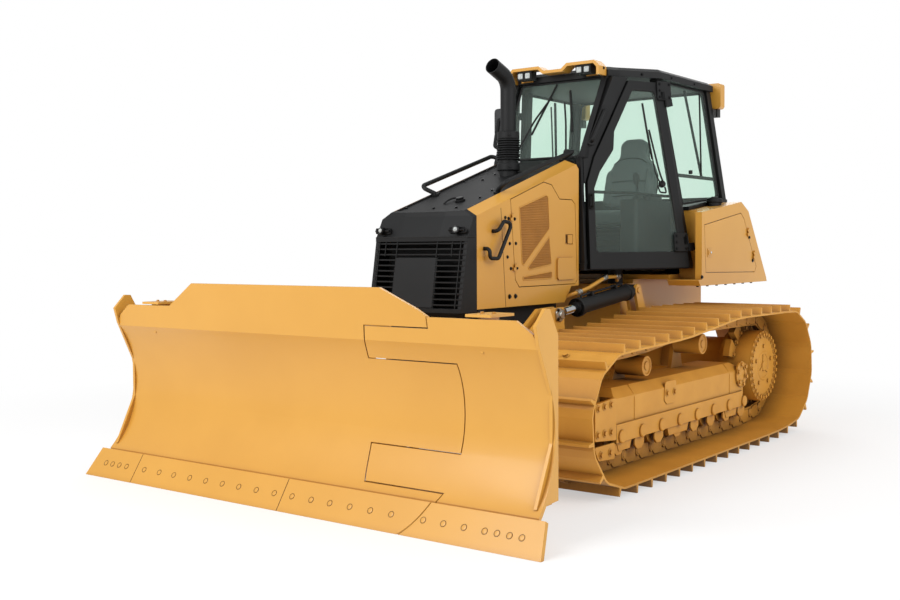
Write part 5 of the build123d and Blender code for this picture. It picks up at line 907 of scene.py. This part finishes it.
# ---------------------------------------------------------------- rear body: tank and fenders
# Fuel tank and fender boxes, welded from sheet: bolted along their lower edge, with a latched
# service door on each side, a filler cap, a bolted rear cover and a tow pin in the drawbar.
chrome, tree, shader, place = new_material("hard_chrome_plate", "rod_chrome", Roughness=0.12, Metallic=1.0)
shaded(tree, shader, place, 60, "#C9CBCD", "#D4D6D8")
fender_side = 900
bolts("rear_body_bolts", "machine", black_zinc, [
    ((x, side * fender_side, z), (0, side, 0)) for x, z in ((-1958, 1474), (-2034, 1289), (-1066, 1180))
    for side in (-1, 1)] + [
    ((x, side * 870, 1116), (0, 0, -1)) for x in range(-2080, -1050, 170) for side in (-1, 1)], 17)
for side, sign in sides:
    out = (0, sign, 0)
    shape(f"service_door_latch_{side}", f"service_door_{side}", enamel, [
        plate(rounded([(x, sign * fender_side, z)
                       for x, z in ((-1160, 1326), (-1246, 1326), (-1246, 1390), (-1160, 1390))], 8), 4, out),
        plate(rounded([(x, sign * 904, z) for x, z in ((-1172, 1340), (-1222, 1340), (-1222, 1376), (-1172, 1376))], 6),
              5, out)])
    shape(f"service_door_lock_{side}", f"service_door_{side}", chrome, [
        turned(((0, 9), (4, 9), (6, 7), (6, 3)), (-1204, sign * 909, 1358), out, 20)])
shape("fuel_filler_cap", "machine", satin, [
    turned(((-20, 52), (14, 52), (18, 60), (44, 60), (50, 54), (50, 14)), (-1560, 780, 1722), (-0.1, 0, 1), 36),
    plate(rounded([(-1560 + a, 780 + b, 1770) for a, b in ((-48, -9), (48, -9), (48, 9), (-48, 9))], 6), 16,
          (-0.1, 0, 1), 4)])
shape("rear_hand_holds", "machine", satin, [
    pipe([(-1890, side * 560, 1700), (-1990, side * 560, 1690), (-2066, side * 560, 1420), (-2020, side * 560, 1400)],
         13, 40, 10) for side in (-1, 1)])
tail_out = (-0.81, 0, 0.59)


def on_tail(y, z, out=0.0):
    """A point on the rear body's sloped back face."""
    return (-1945 - (1680 - z) * 385 / 530 + out * tail_out[0], y, z + out * tail_out[2])


shape("rear_cover_plate", "machine", enamel, [
    plate(rounded([on_tail(y, z) for y, z in ((-430, 1220), (430, 1220), (430, 1600), (-430, 1600))], 40), 6,
          tail_out)])
bolts("rear_cover_bolts", "machine", black_zinc, [
    (on_tail(y, z, 6), tail_out) for y in (-400, -134, 134, 400) for z in (1250, 1570)], 17)
steel, tree, shader, place = new_material("bright_zinc_plated_steel", "rod_chrome", Roughness=0.3, Metallic=1.0)
shaded(tree, shader, place, 25, "#A9A9A4", "#C2C1BA")
relief(tree, shader, noise(tree, place, 6, 0.3, 0.7), 0.1, edge_mm=1.5)
tow_pin_x = -2311
shape("tow_pin", "machine", steel, [
    turned(((-48, 14), (-44, 18), (22, 18), (22, 34), (30, 36), (38, 34), (40, 12)),
           (tow_pin_x, 0, 447), (0, 0, 1), 28),
    pipe([(tow_pin_x, y, z) for y, z in ((-24, 490), (-20, 540), (20, 540), (24, 490))], 6, 14, 8)])

# ---------------------------------------------------------------- cylinders and C-frame
# Tubes are welded to cast eyes; glands are screwed in and locked by bolts; steel oil pipes run
# along the barrels. Rods are ground and hard-chrome plated, their pins held by bolted keepers.
# barrel's pin, rod's pin, barrel radius and the distance from its pin to the barrel's mouth
cylinders = {"lift": ((-700, 530, 1090), (400, 530, 968), 54, 815),
             "angle": ((1110, 440, 600), (1838, 420, 600), 42, 486)}
for use, (barrel_pin, rod_pin, radius, reach) in cylinders.items():
    for side, sign in sides:
        foot, end = (Vector((x, sign * y, z)) for x, y, z in (barrel_pin, rod_pin))
        along = (end - foot).normalized()
        over = Vector((0, -sign, 0)) if use == "lift" else Vector((0, 0, 1))
        level = Vector((0, 0, 1)) - along * along.z
        finish = satin if use == "lift" else enamel
        shape(f"{use}_{side}_gland", f"{use}_{side}_barrel", finish, [
            turned(((reach - 46, radius + 4), (reach - 44, radius + 10), (reach - 4, radius + 10), (reach, radius + 7),
                    (reach, radius - 14), (reach + 5, radius - 16), (reach + 5, radius - 19)), foot, along, 40),
            turned(((96, radius + 1), (100, radius + 7), (126, radius + 7), (130, radius + 1)), foot, along, 40),
            pipe([foot + along * t + level * (radius + lift) for t, lift in
                  ((reach - 70, -6), (reach - 70, 17), (170, 17), (170, -6))], 8, 16, 10)]
            + [plate([foot + along * (t + a) + over * b + level * (radius - 3) for a, b in
                      ((-11, -22), (11, -22), (11, 22), (-11, 22))], 30, level, 4) for t in (280, reach - 200)])
        bolts(f"{use}_{side}_gland_bolts", f"{use}_{side}_barrel", black_zinc, [
            (foot + along * reach + (radius - 5) * (math.cos(a) * over + math.sin(a) * level), along)
            for a in [0.4 + i * math.pi / 3 for i in range(6)]], 9)
        if use == "lift":
            keeper = [(432, 1016), (462, 986), (452, 936), (398, 924), (352, 950), (366, 1000)]
            shape(f"lift_keeper_{side}", "c_frame", steel, [
                plate(rounded([(x, sign * 579, z) for x, z in keeper], 16), 12, (0, sign, 0), 3),
                turned(((0, 26), (18, 26), (22, 22), (22, 8)), (rod_pin[0], sign * 579, rod_pin[2]), (0, sign, 0), 28)])
            bolts(f"lift_keeper_bolts_{side}", "c_frame", black_zinc, [
                ((x, sign * 591, z), (0, sign, 0)) for x, z in ((440, 1000), (440, 942), (366, 968))], 14)
tilt_foot = Vector((1990, -300, 880))
shape("tilt_gland", "tilt_barrel", enamel, [
    turned(((454, 52), (456, 58), (496, 58), (500, 54), (500, 32)), tilt_foot, (0, 1, 0), 40),
    pipe([tilt_foot + Vector((0, 120, 42)), tilt_foot + Vector((0, 120, 66)), tilt_foot + Vector((0, 430, 66)),
          tilt_foot + Vector((0, 430, 42))], 8, 16, 10)])
bolts("tilt_gland_bolts", "tilt_barrel", black_zinc,
      bolt_circle(tilt_foot + Vector((0, 500, 0)), 43, (0, 1, 0), 6), 9)
dress(chrome, "lift_left_rod", "lift_right_rod", "angle_left_rod", "angle_right_rod", "tilt_rod")

# Push arm trunnion covers, the king pin's cap, and the rigid oil pipes that cross the hull's top.
for side, sign in sides:
    shape(f"trunnion_cover_{side}", "c_frame", enamel, [
        turned(((-2, 62), (10, 62), (14, 58), (14, 24), (20, 20), (20, 8)), (-430, sign * 585, 430), (0, sign, 0), 36)])
    bolts(f"trunnion_bolts_{side}", "c_frame", enamel,
          bolt_circle((-430, sign * 599, 430), 46, (0, sign, 0), 6, 0.3), 13)
    shape(f"lift_oil_pipe_{side}", "machine", enamel, [
        pipe([(-60, sign * 345, 1060), (-70, sign * 425, 1090), (-230, sign * 430, 1118), (-470, sign * 430, 1188),
              (-640, sign * 430, 1190), (-700, sign * 400, 1160)], 14, 40, 12)])
    shape(f"lift_pipe_fittings_{side}", "machine", steel, [part for place, axis in (
        ((-78, sign * 425, 1091), (-0.98, 0, 0.17)), ((-430, sign * 430, 1177), (-0.96, 0, 0.28)),
        ((-620, sign * 430, 1190), (-1, 0, 0))) for part in (
        turned(((0, 17), (3, 21), (26, 21), (29, 17), (34, 18), (36, 22), (52, 22), (55, 18)), place, axis, 6),)])
king_pin_x = 1650
shape("king_pin_cap", "c_frame", enamel, [
    turned(((0, 56), (10, 56), (14, 50), (14, 14)), (king_pin_x, 0, 517), (0, 0, 1), 36)])
bolts("king_pin_bolts", "c_frame", enamel, bolt_circle((king_pin_x, 0, 531), 36, (0, 0, 1), 4), 14)

# ---------------------------------------------------------------- blade
# The cutting edge is in bolted sections with separate end bits, held by countersunk plow bolts,
# whose flush heads show as rings; hinge lines and section joints show as dark gaps.
ring_group, source, result = new_group("plow_bolt_rings", ("Ring Radius", "Line Width"))
hoop = add(ring_group, "GeometryNodeCurvePrimitiveCircle", [("Radius", source.outputs["Ring Radius"])], Resolution=20)
wide = add(ring_group, "ShaderNodeMath", [(0, source.outputs["Line Width"])], operation="MULTIPLY")
wide.inputs[1].default_value = 0.5
section = add(ring_group, "GeometryNodeCurvePrimitiveCircle", [("Radius", wide.outputs[0])], Resolution=5)
ring = add(ring_group, "GeometryNodeCurveToMesh", [(0, hoop.outputs[0]), (1, section.outputs[0])])
facing = add(ring_group, "GeometryNodeInputNamedAttribute", data_type="FLOAT_VECTOR", Name="facing")
turn = add(ring_group, "FunctionNodeAlignRotationToVector", [("Vector", facing.outputs[0])], axis="Z")
placed = add(ring_group, "GeometryNodeInstanceOnPoints", [
    ("Points", source.outputs[0]), ("Instance", ring.outputs[0]), ("Rotation", turn.outputs[0])])
close_group(ring_group, source, result, placed.outputs[0])
edge_out = Vector((158, 0, 104)).normalized()


def on_edge(y, down, out=0.0):
    """A point on the cutting edge's face: across it, a share of the way down it and out from it."""
    return Vector((2282 + 104 * down, y, 158 * (1 - down))) + out * edge_out


edge_bolts = {"blade": (-1539, -1475, -1408, -1337, -1167, -1027, -894, -752, -613, -473, -337, -197, -57, 78, 219, 353,
                        492, 631, 769),
              "wing": (972, 1095, 1218, 1338, 1408, 1478, 1546)}
for body, places in edge_bolts.items():
    evaluated(f"plow_bolts_{body}", body, joint, ring_group, {"Ring Radius": 16.0, "Line Width": 2.4},
              [on_edge(y, 0.5, 0.2) for y in places], facings=[edge_out] * len(places))
    shape(f"plow_bolt_heads_{body}", body, enamel, [
        turned(((-1, 13), (0.8, 13), (1.4, 11), (1.4, 5)), on_edge(y, 0.5), edge_out, 18) for y in places])
shape("cutting_edge_joints", "blade", joint, [
    plate([on_edge(y - 2, 0.01), on_edge(y + 2, 0.01), on_edge(y + 2, 0.99), on_edge(y - 2, 0.99)], 0.7, edge_out, 0.2)
    for y in (-1240, 8)])
# nuts behind the edge, and bolts on the two step plates
bolts("edge_nuts", "blade", worn_and_shaded, [(on_edge(y, 0.5, -22), -edge_out) for y in edge_bolts["blade"][4:]], 25)
for (side, sign), body in zip(sides, ("wing", "blade")):
    bolts(f"upper_lip_bolts_{side}", body, enamel,
          [((2136, sign * y, 1086), (0, 0, 1)) for y in (1190, 1260)], 15)

# ---------------------------------------------------------------- studio
# A pale paper floor that runs out into plain white, and large soft lamps to the front left.
floor_mesh = bpy.data.meshes.new("floor")
floor_mesh.from_pydata([(-60, -60, 0), (60, -60, 0), (60, 60, 0), (-60, 60, 0)], [], [(0, 1, 2, 3)])
floor = bpy.data.objects.new("floor", floor_mesh)
bpy.context.scene.collection.objects.link(floor)
paper, tree, shader, place = new_material("pale_studio_paper", "paint", Roughness=0.9)
shader.inputs["Base Color"].default_value = linear("#FAFAFA")
far = add(tree, "ShaderNodeVectorMath", [(0, place)], operation="LENGTH")
run_out = add(tree, "ShaderNodeMapRange", [("Value", far.outputs["Value"])], From_Min=2.6, From_Max=6.0,
              To_Min=0.5, interpolation_type="SMOOTHSTEP")
glow = add(tree, "ShaderNodeEmission", Color=(1, 1, 1, 1), Strength=1.0)
ends = add(tree, "ShaderNodeMixShader", [(0, run_out.outputs[0]), (1, shader.outputs[0]), (2, glow.outputs[0])])
show(tree, ends)
floor_mesh.materials.append(paper)

world = bpy.data.worlds.new("studio")
bpy.context.scene.world = world
world.use_nodes = True
tree = world.node_tree
tree.nodes.clear()
rays = add(tree, "ShaderNodeLightPath")
seen = add(tree, "ShaderNodeMath", [(0, rays.outputs["Is Camera Ray"]), (1, rays.outputs["Is Transmission Ray"])],
           operation="MAXIMUM")
soft = add(tree, "ShaderNodeBackground", Color=(1, 1, 1, 1), Strength=0.62)
white = add(tree, "ShaderNodeBackground", Color=(1, 1, 1, 1), Strength=1.0)
mixed = add(tree, "ShaderNodeMixShader", [(0, seen.outputs[0]), (1, soft.outputs[0]), (2, white.outputs[0])])
add(tree, "ShaderNodeOutputWorld", [("Surface", mixed.outputs[0])])

for name, spot, size, power in (
    ("front_lamp", (8.0, -1.5, 5.5), 5.0, 430), ("side_lamp", (1.5, 9.0, 6.0), 6.0, 360),
    ("back_lamp", (-8.0, -3.0, 6.0), 6.0, 200),
):
    lamp = bpy.data.lights.new(name, "AREA")
    lamp.size = size
    lamp.energy = power
    stand = bpy.data.objects.new(name, lamp)
    stand.location = spot
    stand.rotation_euler = (Vector((0.3, 0, 1.0)) - Vector(spot)).to_track_quat("-Z", "Y").to_euler()
    bpy.context.scene.collection.objects.link(stand)

camera_data = bpy.data.cameras.new("camera")
camera_data.lens = 44.456
camera = bpy.data.objects.new("camera", camera_data)
yaw, pitch, roll = math.radians(-143.17), math.radians(-2.69), math.radians(-0.33)
aim = Vector((math.cos(yaw) * math.cos(pitch), math.sin(yaw) * math.cos(pitch), math.sin(pitch)))
camera.rotation_euler = (aim.to_track_quat("-Z", "Y").to_matrix() @ Matrix.Rotation(roll, 3, "Z")).to_euler()
camera.location = (6.5447, 4.2970, 1.4046)
bpy.context.scene.collection.objects.link(camera)
bpy.context.scene.camera = camera

bpy.context.scene.view_settings.view_transform = "Standard"
